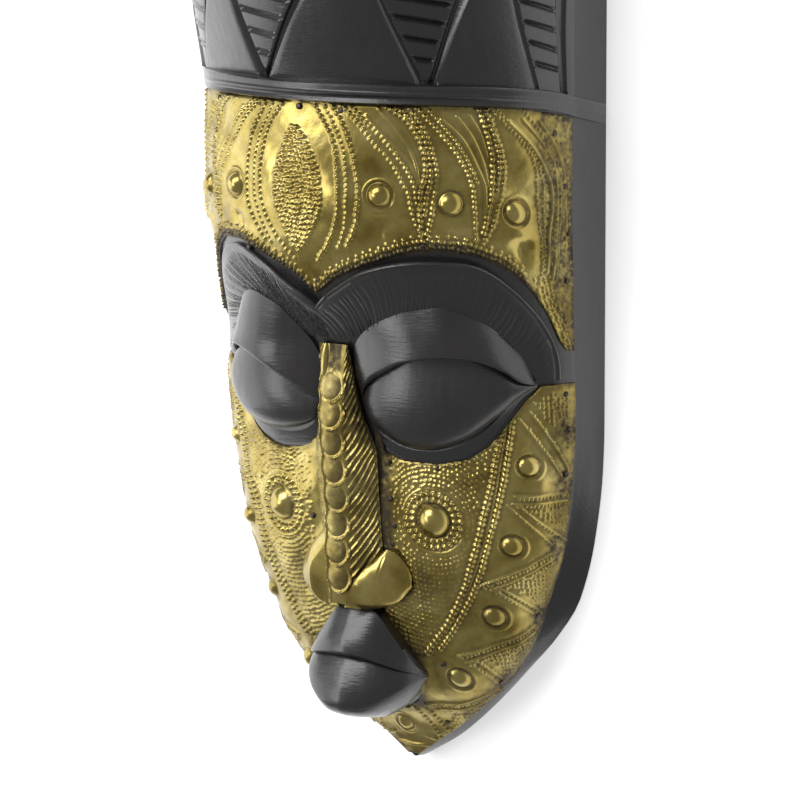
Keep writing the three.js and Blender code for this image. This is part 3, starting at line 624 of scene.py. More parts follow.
def lid_swell(s):
    """Fullness of the eye along its length, fullest past the middle."""
    return np.sin(math.pi * np.clip(s, 0.001, 0.999) ** 1.12) ** 0.62


def carve_eyes(mask):
    """Upper lid with a thick rounded edge that overhangs the eyeball, and a low rim beneath."""
    for side, crease, slit, eye_low, rim_low in zip(SIDES, LID_CREASES, SLITS, EYE_LOWS, RIM_LOWS):
        def upper_lid(s, t):
            x, y = between(crease, slit, s, t)
            edge = unit((t - 0.86) / 0.14)
            swell = lid_swell(s)
            rise = 1 - (1 - unit(t / 0.9)) ** 1.35
            lift = 1.4 + 11.2 * swell * rise - 3.2 * swell * (1 - np.sqrt(1 - edge ** 2))
            return side * x, y, lift

        def eyeball(s, t):
            x, y = between(slit, eye_low, s, t)
            swell = lid_swell(s)
            upper_half = 0.45 + 0.55 * np.sin(QUARTER_TURN * unit(t / 0.6))
            lower_half = np.sqrt(1 - unit((t - 0.6) / 0.4) ** 2.1)
            return side * x, y + 3.2 * swell * (1 - t), 0.8 + 10 * swell * upper_half * lower_half

        def lower_rim(s, t):
            x, y = between(eye_low, rim_low, s, t)
            lift = np.interp(t, [0, 0.3, 0.42, 0.55, 1], [2.2, 2.5, 2.9, 2.5, 1.7])
            return side * x, y + 3 * (1 - t), lift

        rounded = np.sin(np.linspace(0, QUARTER_TURN, 26))
        for form, along, over in ((upper_lid, 96, np.concatenate([rounded[:-9], np.linspace(0.84, 1, 10)])),
                                  (eyeball, 96, (1 - np.cos(np.linspace(0, math.pi, 36))) / 2),
                                  (lower_rim, 80, np.array([0, 0.2, 0.3, 0.36, 0.42, 0.48, 0.55, 0.75, 1]))):
            shares = (1 - np.cos(np.linspace(0, math.pi, along))) / 2
            combine(mask, relief("eye", mix(np.linspace(0, 1, along), shares, 0.5), over, form), "UNION")


# Nose
NOSE_TOP, NOSE_LOW = -24.5, -136
ridge_height = profile([(-136, 59.4), (-124.6, 61.7), (-113, 62.9), (-102, 63.6), (-90, 65.9), (-79, 68),
    (-68, 69.2), (-57, 70.5), (-40, 69.5), (-24.5, 67.4)])
nose_width = profile([(-136, 14.6), (-110, 14.2), (-71, 14.6), (-63, 12.6), (-57, 10.2), (-47, 7.9),
    (-40, 7.2), (-24.5, 6.4)])
RIDGE_HALF, CORE_ROOM = 4.2, 0.4
# How deep the nose, nostrils and lips are rooted in the face
BODY_ROOT = 5


def face_z(x, y):
    share = np.clip(x / front_width(y), -1, 1)
    return face_point(np.arcsin(share), y)[..., 2]


def rooted(spots, upper):
    """Lets the lower skin of a body reach well into the face."""
    spots[:, 2] = np.where(upper, spots[:, 2], face_z(spots[:, 0], spots[:, 1]) - BODY_ROOT)
    return spots


def nose_core_point(side, y):
    """The wood of the nose, with room for its sheet all round."""
    half = nose_width(y) - CORE_ROOM
    x = side * half
    base = face_z(x, y) + 0.2 - 0.8 * CORE_ROOM
    crown = ridge_height(y) - CORE_ROOM - 0.4 * np.minimum(1, np.abs(x) / RIDGE_HALF)
    inner = RIDGE_HALF - 0.6 * CORE_ROOM
    down = unit((np.abs(x) - inner) / (half - inner))
    return np.stack([x, y, mix(crown, base, down ** 1.35)], -1)


WING_TOP = path([(6, -115), (14, -114.5), (20, -115.5), (24, -119), (25.6, -122.5)])
WING_LOW = path([(6, -134.8), (12, -134.8), (17, -133.8), (22, -131), (25.6, -127)])


def nostril_core_point(share, t):
    x, y = between(WING_TOP, WING_LOW, share, t)
    out = 1 - unit((x - 6) / 21.5) ** 2.2
    turn = QUARTER_TURN * np.minimum(1, 0.1 + t * 1.15)
    swell = 10.5 * np.sqrt(out) * np.sin(turn) ** 0.8
    return np.stack([x, y, face_z(x, y) + 0.2 + swell * (1 - 0.12 * t)], -1)


def carve_nose(mask):
    def core(side, y, upper):
        return rooted(nose_core_point(side, y), upper)
    sides = np.concatenate([np.linspace(-1, -0.31, 7), np.linspace(0.31, 1, 7)])
    combine(mask, slab("nose_core", sides, spread((NOSE_LOW + 0.6, 4), NOSE_TOP - 0.6), core), "UNION")
    for way in SIDES:
        def wing(share, t, upper):
            return rooted(nostril_core_point(share, t), upper) * (way, 1, 1)
        combine(mask, slab("wing_core", np.linspace(0, 1, 13), np.linspace(0, 1, 13), wing), "UNION")


# Mouth: outlines of the mask's left half and of its right half, whose corner sits higher
LIP_TOPS = paths(
    [(0, -136.6), (10.5, -138.5), (17.7, -147), (23.2, -157), (26.6, -165.5)],
    [(0, -136.6), (8, -139), (15, -146.5), (21, -153.3), (26, -159.3)])
LIP_LINES = paths(
    [(0, -157.2), (9, -158.6), (17, -161.3), (22.5, -164), (26.8, -166.4)],
    [(0, -157.2), (9, -157.4), (17, -158.2), (22.5, -159.8), (26.4, -161.4)])
LIP_LOWS = paths(
    [(0, -187.5), (9, -186.5), (17.3, -181.5), (23, -175), (26.8, -167.8)],
    [(0, -187.5), (8.5, -186.2), (15.5, -181), (20.8, -173.8), (26.2, -163.6)])
upper_lip_height = profile([(0, 55), (0.35, 58.7), (0.75, 62.6), (0.93, 63.4), (1, 62)])
lower_lip_height = profile([(0, 57.5), (0.1, 59.6), (0.3, 62.6), (0.55, 65.2), (0.7, 65.8), (0.83, 63.6),
    (0.93, 57), (1, 44)])


def carve_mouth(mask):
    def lip(tops, lows, height, raised, drop):
        def place(side, t, upper):
            s = np.abs(side)
            near = side >= 0
            from_x, from_y = by_side(near, tops, s)
            to_x, to_y = by_side(near, lows, s)
            x = np.sign(side) * mix(from_x, to_x, t)
            y = mix(from_y, to_y, t) + raised * unit(1 - s) ** 0.5
            base = face_z(x, np.maximum(y, -180)) + 1.5
            full = np.where(near, unit(1 - s ** 1.42) ** 0.62, unit(1 - s ** 2.1) ** 0.5)
            z = mix(base, height(t), full)
            return rooted(np.stack([x, np.where(upper, y, y + drop * t), z], -1), upper)
        return place
    sides = np.sin(np.linspace(-QUARTER_TURN, QUARTER_TURN, 89))
    combine(mask, slab("upper_lip", sides, 1 - np.cos(np.linspace(0, QUARTER_TURN, 28)) ** 1.3,
                       lip(LIP_TOPS, LIP_LINES, upper_lip_height, 0, 0)), "UNION")
    combine(mask, slab("lower_lip", sides, np.linspace(0, 1, 36),
                       lip(LIP_LINES, LIP_LOWS, lower_lip_height, 0.8, 5)), "UNION")


# Brass sheets: outlines, and how much room is left to them, negative outside
BROW_CUT = profile([(0, -1.6), (2, -1), (11.6, 5.2), (24, 10.8), (42.5, 16.9), (55, 18.8), (69, 17.6),
    (82.4, 12.2), (93, 2), (97.8, -10), (99, -21), (102, -25.5), (110, -26)])
FAR_BROW_CUT = profile([(0, -1.6), (3.4, 2.8), (10.2, 7.6), (17.8, 11.3), (24.9, 14), (30.9, 16.2),
    (39.1, 18.3), (49.3, 18.3), (61.8, 13.6), (72, 6), (82, -6), (89, -17), (96, -25), (110, -26)])
EYE_CUT = [(104, -20), (104, -38.8), (88, -38.8), (81, -45.5), (73.7, -54.2), (64.8, -64.6), (56, -70.6),
    (42, -73.4), (25.6, -72.4), (18.6, -69.2), (17.4, -60), (17.4, -20)]
FAR_EYE_CUT = [(104, -20), (104, -38.8), (86, -38.8), (74, -43), (67, -51), (60.5, -59), (55.5, -65.8),
    (50, -69.6), (44, -71.8), (38, -72.6), (25.6, -71.6), (18.6, -69.2), (17.4, -60), (17.4, -20)]
MIDDLE_CUT = [(-5, -20), (14.4, -20), (14.4, -110.5), (15, -113.4), (21, -115), (25, -119), (26.6, -123),
    (26.4, -127), (22, -132), (16, -134.8), (12.6, -137.3), (11, -139.6), (16, -147.4), (21.3, -157),
    (24.3, -164), (24.3, -168), (21.8, -173.2), (16, -180), (8.5, -184.6), (-5, -186)]
# Sheets: free strip along the flank, height over the wood, and upper end of the forehead's rows
SHEET_MARGIN, SHEET_LIFT, SHEET_TOP = 0.8, 1.1, 80.3


def away_from(x, y, ax, ay, bx, by):
    """Distance to the straight line from a to b."""
    length = max((bx - ax) ** 2 + (by - ay) ** 2, 1e-9)
    t = unit(((x - ax) * (bx - ax) + (y - ay) * (by - ay)) / length)
    return np.hypot(x - ax - t * (bx - ax), y - ay - t * (by - ay))


def outside(outline, x, y):
    """Signed distance to a closed outline, positive outside it."""
    nearest = np.full(np.shape(x), np.inf)
    inside = np.zeros(np.shape(x), bool)
    for (ax, ay), (bx, by) in zip([outline[-1]] + outline[:-1], outline):
        nearest = np.minimum(nearest, away_from(x, y, ax, ay, bx, by))
        crossing = (ay > y) != (by > y)
        if ay != by:
            inside ^= crossing & (x < (bx - ax) * (y - ay) / (by - ay) + ax)
    return np.where(inside, -nearest, nearest)


def edge_room(across, y):
    return face_span(y) - SHEET_MARGIN - np.abs(across)


def brow_cut(across):
    side = np.abs(across)
    return np.where(across >= 0, BROW_CUT(side), FAR_BROW_CUT(side))


def forehead_room(across, y):
    band = BAND_LOW - 0.5 - droop(face_angle(across, y)) - y
    brows = (y - brow_cut(across)) * 0.8
    return np.minimum(np.minimum(edge_room(across, y), band), brows)


def cheek_room(across, y):
    side = np.abs(across)
    room = np.minimum(edge_room(across, y), np.minimum(y + 208.3, -39.2 - y))
    eyes = np.where(across >= 0, outside(EYE_CUT, side, y), outside(FAR_EYE_CUT, side, y))
    return np.minimum(room, np.minimum(eyes, outside(MIDDLE_CUT, side, y)))


def both(points, middle=0.0):
    return points, [(2 * middle - x, y) for x, y in points]


def to_the_top(points):
    """The row carried on in its own direction up to the upper edge of the forehead sheet."""
    (ax, ay), (bx, by) = points[:2]
    rise = SHEET_TOP - ay
    top = (ax + (ax - bx) * rise / max(ay - by, 1), SHEET_TOP)
    return [top] + points if rise > 1 and ay > 68 else points


class Embossing:
    """Heights hammered into a sheet, over a net of places across and along the face."""

    def __init__(self, across, rows):
        self.across = across
        self.rows = rows
        self.raised = np.zeros((len(rows), len(across)))
        self.bent = np.zeros((len(rows), len(across)))

    def window(self, low_x, high_x, low_y, high_y):
        """The part of the net between these limits, with its places."""
        i = slice(*np.searchsorted(self.across, (low_x, high_x)))
        j = slice(*np.searchsorted(self.rows, (low_y, high_y)))
        return (j, i), self.across[i][None, :], self.rows[j][:, None]

    def around(self, x, y, far_x, far_y):
        """The window about a place, with the distances from that place."""
        spot, u, v = self.window(x - far_x, x + far_x, y - far_y, y + far_y)
        return spot, u - x, v - y

    def dot(self, x, y, radius, height, long=1.0, turn=0.0):
        reach = radius * max(long, 1) * 1.3
        spot, u, v = self.around(x, y, reach, reach)
        a = (u * math.cos(turn) + v * math.sin(turn)) / long
        b = v * math.cos(turn) - u * math.sin(turn)
        fall = unit(1 - (a * a + b * b) / (1.25 * radius) ** 2)
        self.raised[spot] = np.maximum(self.raised[spot], height * fall ** 1.4)

    def ridge(self, points, width, height, sign=1):
        for (ax, ay), (bx, by) in zip(points[:-1], points[1:]):
            spot, u, v = self.window(min(ax, bx) - width, max(ax, bx) + width,
                                     min(ay, by) - width, max(ay, by) + width)
            away = away_from(u, v, ax, ay, bx, by)
            form = height * unit(1 - (away / width) ** 2) ** 1.5
            if sign > 0:
                self.raised[spot] = np.maximum(self.raised[spot], form)
            else:
                self.bent[spot] = np.minimum(self.bent[spot], -form)

    def press(self, x, y, wide, tall, height):
        """A broad soft dent or swelling on each side of the face."""
        for side in SIDES:
            spot, u, v = self.around(side * x, y, 2.4 * wide, 2.4 * tall)
            self.bent[spot] += height * np.exp(-(u / wide) ** 2 - (v / tall) ** 2)

    def boss(self, x, y, radius, rise, ring, stretch=1.0, sides=SIDES):
        """A dome on each side of the face, with a moat and a round rim about it."""
        reach = ring * 1.6 * max(stretch, 1)
        for side in sides:
            spot, u, v = self.around(side * x, y, reach, reach)
            away = np.hypot(u / stretch, v)
            dome = rise * unit(1 - (away / radius) ** 2) ** 0.8
            rim = 0.5 * np.exp(-((away - ring) / 0.7) ** 2)
            moat = -0.4 * np.exp(-((away - (radius + ring) / 2) / 0.6) ** 2)
            self.raised[spot] = np.maximum(self.raised[spot] * smooth(away, ring, ring + 1), dome)
            self.bent[spot] += rim + moat

    def row_of_dots(self, points, pitch, radius, height, long=1.0, wander=0.12, seed=1):
        line = path(points)
        draw = np.random.default_rng(seed + len(points))
        count = max(2, round(line.length / pitch))
        shares = (np.arange(count) + 0.5) / count
        xs, ys = line(shares)
        ahead_x, ahead_y = line(unit(shares + 0.01))
        back_x, back_y = line(unit(shares - 0.01))
        turns = np.arctan2(ahead_y - back_y, ahead_x - back_x)
        for x, y, turn in zip(xs, ys, turns):
            size = radius * draw.uniform(0.85, 1.12)
            self.dot(x + draw.normal(0, wander), y + draw.normal(0, wander), size,
                     height * draw.uniform(0.8, 1.15), long, turn)

    def rows_of_dots(self, points, *form, middle=0.0, **more):
        """A row of dots on each side of the face."""
        for line in both(points, middle):
            self.row_of_dots(to_the_top(line), *form, **more)

    def ridges(self, points, width, height, sign=1):
        """A smooth ridge on each side of the face, or a groove where the sign is negative."""
        for side in both(points):
            line = path(side)
            xs, ys = line(np.linspace(0, 1, max(3, round(line.length / 2))))
            self.ridge(list(zip(xs, ys)), width, height, sign)

    def warp(self, *waves):
        """The sheet's own unevenness, from waves of (height, size, seed)."""
        x, y = np.meshgrid(self.across, self.rows)
        self.bent += sum(height * uneven(x, y, size, seed) for height, size, seed in waves)


def soften(heights, cells):
    """Box blur along both directions of a net."""
    for _ in range(2):
        wide = np.pad(heights, ((cells + 1, cells), (0, 0)), mode="edge")
        total = np.cumsum(wide, axis=0)
        heights = ((total[2 * cells + 1:] - total[:-2 * cells - 1]) / (2 * cells + 1)).T
    return heights


def grid_places(low_x, high_x, low_y, high_y, pitch):
    return [(x, y) for x in np.arange(low_x, high_x, pitch) for y in np.arange(low_y, high_y, pitch)]


def stain(piece, name, values):
    layer = piece.data.attributes.new(name, "FLOAT", "POINT")
    layer.data.foreach_set("value", values)


# A sheet's deepest dent, the foot of its turned edge, and how far its border is pulled in at once
LOWEST_DENT, EDGE_FOOT, MOST_PULL = -0.8, -0.5, 1.2


def nailed_sheet(name, work, room, tarnish):
    """Sheet bent over the face, cut along its outline, with its edge turned down to the wood."""
    piece = net(name, work.across, work.rows)
    i, j, _ = places_in_net(piece, work.across, work.rows)
    x, y = work.across[i].copy(), work.rows[j].copy()
    space = room(x, y)
    mesh = piece.data
    faces = mesh.polygons
    gone = ~(space[values_of(faces, "vertices", 4, int)] > 0).any(axis=1)
    heights = np.maximum((work.raised + work.bent)[j, i], LOWEST_DENT)
    # Patina in the hollows about the raised work; painted shade is added to it where it is stained on below.
    hollows = unit((soften(work.raised, 4) - work.raised)[j, i] * 1.7)
    for _ in range(2):
        off = space < 0
        gap = room(x[off], y[off])
        slope_x = (room(x[off] + 0.1, y[off]) - room(x[off] - 0.1, y[off])) / 0.2
        slope_y = (room(x[off], y[off] + 0.1) - room(x[off], y[off] - 0.1)) / 0.2
        steep = np.maximum(slope_x ** 2 + slope_y ** 2, 0.25)
        x[off] -= np.clip(gap * slope_x / steep, -MOST_PULL, MOST_PULL)
        y[off] -= np.clip(gap * slope_y / steep, -MOST_PULL, MOST_PULL)
    inside = np.maximum(space, 0)
    near_edge = unit(inside / 0.9)
    move_to(piece, on_face(x, y, SHEET_LIFT + heights * near_edge - 0.25 * (1 - near_edge)))
    # The hollows hold real patina. Making it up to twice as dark over the mask's left half, which is turned
    # away from the lamps, is painted shade.
    stain(piece, "hollows", unit(hollows * (0.6 + 0.6 * smooth(x, 10, 60)) + tarnish(x, y, space)))
    stain(piece, "edge", unit(1 - inside / 3))
    under = mesh.attributes.new("under", "FLOAT_VECTOR", "POINT")
    under.data.foreach_set("vector", (on_face(x, y, np.full(len(x), EDGE_FOOT)) * MM).ravel())
    mode("EDIT")
    bpy.ops.mesh.select_mode(type="FACE")
    mode("OBJECT")
    faces.foreach_set("select", gone)
    mode("EDIT")
    bpy.ops.mesh.delete(type="FACE")
    bpy.ops.mesh.select_mode(type="VERT")
    bpy.ops.mesh.select_all(action="DESELECT")
    bpy.ops.mesh.select_non_manifold(extend=False, use_wire=False, use_boundary=True,
                                     use_multi_face=False, use_non_contiguous=False, use_verts=False)
    bpy.ops.mesh.extrude_edges_move()
    mode("OBJECT")
    chosen = values_of(mesh.vertices, "select", 1, bool)
    foot = values_of(mesh.attributes["under"].data, "vector", 3)
    move_to(piece, np.where(chosen, foot, places_of(piece)) / MM)
    mesh.attributes.remove(mesh.attributes["under"])
    shade(piece, 60)
    return piece


def emboss_forehead():
    work = Embossing(spread((-128, 0.84), (-36, 0.42), 128), spread((-28, 0.42), 80))
    draw = np.random.default_rng(21)
    # lens of packed scales over the middle
    for y in np.arange(16.8, 69.8, 2.08):
        middle = -0.4 - np.where(y < 43, 2.8, 1.0) * ((y - 43) / 27) ** 2
        half = 12.3 * (1 - abs((y - 43) / 27.6) ** 1.9) ** 0.9
        count = max(1, round(2 * half / 2.2))
        for k in range(count):
            x = middle - half + (k + 0.5 + draw.uniform(-0.2, 0.2)) * 2 * half / count
            wave = 0.38 * math.sin(0.5 * x + 0.16 * y) + 0.25 * math.sin(1.1 * x + 2.1 * y)
            work.dot(x, y + wave, 0.78 * draw.uniform(0.92, 1.08), 1.15 * draw.uniform(0.85, 1.1), 1.65,
                     0.19 * math.cos(0.5 * x + 0.16 * y) + 0.27 * math.cos(1.1 * x + 2.1 * y))
    middle_rows = [
        ([(9.5, 75), (15.5, 66.5), (18.5, 56.5), (19.6, 45), (18.8, 35.5), (16.2, 28), (12.5, 21.5),
          (5, 12.5)], 2.4, 1.0, 1.15),
        ([(13, 76.5), (19.5, 65), (22.2, 56), (23.5, 45), (22.6, 35), (20.5, 27), (16.5, 18.5)],
          2.25, 0.8, 0.9),
        ([(16.5, 77.5), (22.5, 68), (26.2, 57), (28.4, 45), (27.5, 35), (25, 27.5), (20, 19.5)],
          2.4, 1.05, 1.2)]
    for row in middle_rows:
        work.rows_of_dots(*row, middle=-0.2)
    side_rows = [
        ([(20.5, 78), (26.8, 72.8), (33, 65.3), (39.3, 59), (43, 54.6), (46.8, 47.8), (49.3, 42.8),
          (50.5, 35), (51.8, 29), (53, 24.6)], 2.3, 0.75, 0.8),
        ([(27, 76), (30.5, 72.8), (36, 67.8), (41.8, 61.5), (46, 56.5), (49.9, 50.3), (52, 45.3),
          (52.8, 38)], 2.2, 0.7, 0.75),
        ([(40.5, 77.8), (48, 72.8), (53, 65.3), (55.5, 59), (56, 51.5), (54.3, 42.8), (53.5, 33), (53, 26)],
          2.35, 1.0, 1.1),
        ([(44.5, 77.5), (51, 72), (55.5, 64.5), (57.8, 57), (58.2, 49.5), (56.6, 41), (55, 33)],
          2.3, 0.85, 0.9),
        ([(49.3, 77), (54.3, 70.3), (57.8, 62.8), (60.3, 54), (60.7, 46.5), (58.8, 36.5), (56.8, 30),
          (54.3, 25)], 2.3, 0.8, 0.85),
        ([(54.3, 75.3), (60.5, 69), (66.8, 61.5), (71.8, 54), (75.2, 45.3), (76, 36.5), (75.5, 29),
          (75, 22.8)], 2.25, 0.75, 0.8),
        ([(58, 75.5), (64, 69), (69.5, 62), (74, 54.5), (77.5, 46.5)], 2.0, 0.6, 0.6),
        ([(78, 74.6), (81, 66.5), (83, 59), (83.6, 51.5), (83.3, 43), (81, 34), (78, 25)], 2.35, 1.0, 1.1),
        ([(80.5, 74), (83.8, 66), (85.8, 58.5), (86.3, 51), (85.6, 43)], 2.25, 0.8, 0.85),
        ([(82.4, 71.5), (86.4, 61.5), (88.4, 54), (88.4, 46.5), (86.4, 39), (83, 30.3), (78, 22.8)],
          2.25, 0.8, 0.85),
        ([(85.5, 74), (93, 66.5), (99.3, 59), (103, 50.3), (103.6, 42.8), (104.3, 34), (103.6, 25.3),
          (101.8, 14), (99.9, 6.5)], 2.0, 0.62, 0.65),
        ([(88, 73), (96.5, 64.5), (104, 53), (107, 43), (107, 33), (105, 22), (101.5, 9)], 2.0, 0.6, 0.6),
        ([(100, 72), (108, 63.5), (114.5, 52), (114.5, 38), (110, 20), (104, 3)], 2.3, 0.6, 0.5)]
    for seed, (points, pitch, radius, height) in enumerate(side_rows):
        work.rows_of_dots(points, pitch, 1.15 * radius, 1.3 * height, seed=seed)
    side_ridges = [
        ([(31, 74.5), (38, 67.5), (44, 61.5), (49.3, 55.5), (53, 49)], 0.8, 0.6),
        ([(36, 77.5), (44, 69), (49, 62), (52, 55), (53.5, 47)], 0.8, 0.6),
        ([(61.8, 73.4), (70.5, 65.3), (76.8, 54), (80.5, 45), (80, 33)], 0.8, 0.6),
        ([(68, 74.5), (74.5, 66), (79.5, 55), (81.8, 46)], 0.8, 0.55),
        ([(73, 75), (78, 67), (81, 58)], 0.7, 0.5),
        ([(89.8, 71.5), (100.5, 61.5), (108, 50.3), (111.4, 41.5), (111, 33), (108, 24), (103, 9)],
          1.6, 0.8),
        ([(96, 72.5), (106, 62), (113, 52), (116.8, 42), (116, 32), (112.5, 20), (106.5, 5)], 0.8, 0.5),
        ([(104, 71), (112, 62), (118.5, 50)], 0.8, 0.45),
        ([(108, 62), (112.8, 52), (114.4, 40), (113.4, 28), (109.5, 16), (104, 4)], 1.1, 0.6),
        ([(114, 62), (118.6, 50), (119.6, 38), (118, 24), (113, 10)], 1.0, 0.5)]
    for ridge in side_ridges:
        work.ridges(*ridge)
    # smooth hammered fields with the bosses, and the creases that run down from them
    for x, y in ((37, 42), (66.3, 39), (93.7, 34.4)):
        for aside, below, wide, tall, height in ((0, 0, 9, 13, -0.9), (0, 9.5, 6, 2.2, 0.95),
                                                 (-1, 16, 1.8, 4, -0.8), (6, 14, 3, 3, 0.7),
                                                 (-7, 13, 3, 3, 0.5)):
            work.press(x + aside, y - below, wide, tall, height)
        work.boss(x, y, 5.0, 3.3, 6.5)
    # irregular stipple in the outer strips
    for gx, gy in grid_places(106.5, 126, -18, 78, 2.1):
        x, y = gx + draw.normal(0, 0.6), gy + draw.normal(0, 0.6)
        for side in SIDES:
            radius, height, long = draw.uniform((0.5, 0.1, 1), (0.8, 0.4, 1.7))
            work.dot(side * x, y, radius, height, long, y)
    for gx, gy in grid_places(97, 106, -26, 8, 2.0):
        x, y = gx + draw.normal(0, 0.4), gy + draw.normal(0, 0.4)
        for side in SIDES:
            work.dot(side * x, y, draw.uniform(0.55, 0.9), draw.uniform(0.4, 0.9))
    # beads along the cut over the brows
    for away, pitch, radius in ((1.5, 1.9, 0.78), (3.4, 2.1, 0.88), (4.9, 3.6, 0.7)):
        for side in SIDES:
            line = [(side * x, brow_cut(side * x) + away * (1 + 0.006 * x)) for x in np.linspace(0.5, 93, 30)]
            work.row_of_dots(line, pitch, radius, 1.1, wander=0.2, seed=round(away * 10))
    work.rows_of_dots([(96.5, 2), (100.5, -8), (102, -18), (104, -24)], 2.0, 0.6, 0.6)
    work.warp((0.5, 30, 8), (0.03, 7, 9))

    # Real tarnish along the cut over the brows, in the outer strips and along the upper edge by the band.
    def tarnish(x, y, space):
        away = np.abs(x)
        brow = unit(1.5 - (y - brow_cut(x)) / 4.0) * (away < 96)
        rim = smooth(away, 98, 107) * (0.6 + 0.12 * uneven(x, y, 12, 61))
        return 0.03 + 0.75 * brow + rim + 0.3 * smooth(y, 72, 80) * smooth(away, 40, 70)
    return nailed_sheet("forehead_brass", work, forehead_room, tarnish)


def emboss_cheeks():
    work = Embossing(spread((-104, 0.8), (-8, 0.44), 104), spread((-209.4, 0.44), -38.6))
    draw = np.random.default_rng(33)
    bead_rows = [
        ([(70.8, -56), (67, -70), (64, -83), (60, -96), (57, -106), (53, -117), (50, -125), (46, -133),
          (40.5, -142), (34, -150), (28, -157)], 2.35, 1.3, 1.4, 0.82),
        ([(75, -53), (72.5, -65), (70, -78), (67, -89), (63.5, -100), (60, -110), (57, -119), (52.5, -129),
          (46, -139.5), (40, -148), (34, -155)], 2.3, 1.25, 1.3, 0.82)]
    for row in bead_rows:
        work.rows_of_dots(*row, wander=0.06)
    twin = [(73.2, -55), (69.8, -71), (67, -84), (63.5, -97), (59.8, -108), (55, -120), (50, -130.5),
        (43.5, -141), (37.5, -149.5), (31, -157)]
    for shift in (-0.75, 0.75):
        work.ridges([(x + shift, y) for x, y in twin], 0.55, 0.4)
    work.ridges(twin, 0.8, 0.35, -1)
    # fields between the zigzag of the border, with their bosses
    for x, y, ring in ((80.5, -73.6, 4.9), (71, -108, 4.9), (60, -139, 4.9), (40, -167.6, 4.7)):
        work.press(x, y, 7, 8, -0.5)
        work.press(x - 5, y + 7, 3.5, 3, 0.45)
        work.press(x + 4, y - 8, 4, 2.5, 0.5)
        work.boss(x, y, 4.2, 2.7, ring + 0.8, 1.1)
    work.boss(0.8, -193, 3.6, 2.4, 4.8, sides=(1,))
    double_lines = [
        [(77.5, -53), (87, -67), (95, -79)], [(82, -50), (91, -64), (98, -76)],
        [(73.5, -86.2), (98, -86.2)], [(72.5, -89.6), (98, -89.6)], [(70.5, -90), (79, -99), (88, -108)],
        [(74.5, -89.5), (84, -98.5), (96, -106.5)], [(56, -125), (70, -119.5), (88, -111)],
        [(60, -127), (74, -121), (90, -113)], [(59.5, -125), (68, -131.5), (77.5, -138.5)],
        [(64, -126), (74, -133), (82, -138)], [(42, -156.5), (60, -151), (79, -144)],
        [(44, -159.5), (62, -153.5), (78, -147.5)], [(45, -158), (51, -165), (57, -172)],
        [(49, -158), (55.5, -165.5), (61, -170.5)], [(18, -181.5), (38, -179), (57, -173)],
        [(21, -184), (38, -182), (54, -176.5)], [(11.5, -183), (12.5, -190), (14, -199)],
        [(17, -184), (18, -191), (20, -197)]]
    for seed, points in enumerate(double_lines):
        work.ridges(points, 0.7, 0.75)
        work.rows_of_dots([(x + 1.1, y - 1.1) for x, y in points], 1.75, 0.66, 0.85, seed=seed)
    # stippled triangles of the border: (corner, corner, corner)
    stippled = [
        ((91, -43), (100, -43), (100, -72)), ((76, -91), (97, -91), (97, -104)),
        ((66, -124), (90, -115), (83, -137)), ((52, -158), (78, -149), (62, -169)),
        ((24, -187), (53, -179), (20, -196)), ((82, -46), (92, -42), (92, -58))]
    for (ax, ay), (bx, by), (cx, cy) in stippled:
        area = (bx - ax) * (cy - ay) - (cx - ax) * (by - ay)
        for x, y in grid_places(min(ax, bx, cx), max(ax, bx, cx), min(ay, by, cy), max(ay, by, cy), 1.9):
            u = ((x - ax) * (cy - ay) - (cx - ax) * (y - ay)) / area
            v = ((bx - ax) * (y - ay) - (x - ax) * (by - ay)) / area
            if u > 0.03 and v > 0.03 and u + v < 0.97:
                for side in SIDES:
                    work.dot(side * x + draw.normal(0, 0.2), y + draw.normal(0, 0.2), 0.66, 0.75)
    # fine dots in arcs round the cheek boss, out to the beads, the nose and the mouth
    centre_x, centre_y = 38.8, -97.5
    for n, radius in enumerate(np.arange(15.4, 64, 1.95)):
        count = round(FULL_TURN * radius / 2.0)
        for k in range(count):
            turn = FULL_TURN * (k + 0.5 * (n % 2)) / count
            x = centre_x + radius * math.cos(turn)
            y = centre_y + radius * math.sin(turn)
            limit = np.interp(
                -y, [56, 70, 96, 117, 133, 150, 157], [68.5, 64.5, 57.5, 50.5, 43.5, 31.5, 26])
            if x < (20.5 if y > -112 else 10) or x > limit or y > -66 or y < -158:
                continue
            upper = y > -92 and x > 30
            if draw.uniform() < (0.95 if x > 24 or y < -112 else 0.6):
                for side in SIDES:
                    work.dot(side * x + draw.normal(0, 0.2), y + draw.normal(0, 0.2),
                             0.72 if upper else 0.6, (0.75 if upper else 0.42) * draw.uniform(0.7, 1.25),
                             1.4, turn + QUARTER_TURN)
    work.press(centre_x, centre_y, 10, 10, 0.8)
    work.boss(centre_x, centre_y, 7.3, 4.6, 8.1)
    for side in SIDES:
        for radius, size, count, height, long in ((9.4, 0.8, 22, 1.1, 1.35), (11.8, 1.15, 26, 1.35, 1.0)):
            for k in range(count):
                turn = FULL_TURN * k / count
                work.dot(side * (centre_x + radius * math.cos(turn)), centre_y + radius * math.sin(turn),
                         size * draw.uniform(0.85, 1.15), height * draw.uniform(0.8, 1.2), long, side * turn)
    for first, last, radius in ((20, 165, 13.8), (195, 330, 14.2)):
        turns = np.radians(np.linspace(first, last, 9))
        work.ridges([(centre_x + radius * math.cos(a), centre_y + radius * math.sin(a)) for a in turns],
                    0.8, 0.35)
    # the chin: soft folds towards the tip
    for points in ([(8, -199), (14, -201)], [(0, -204), (7, -203.5)]):
        work.ridges(points, 1.0, 0.5)
    work.warp((0.5, 24, 12), (0.08, 9, 13))

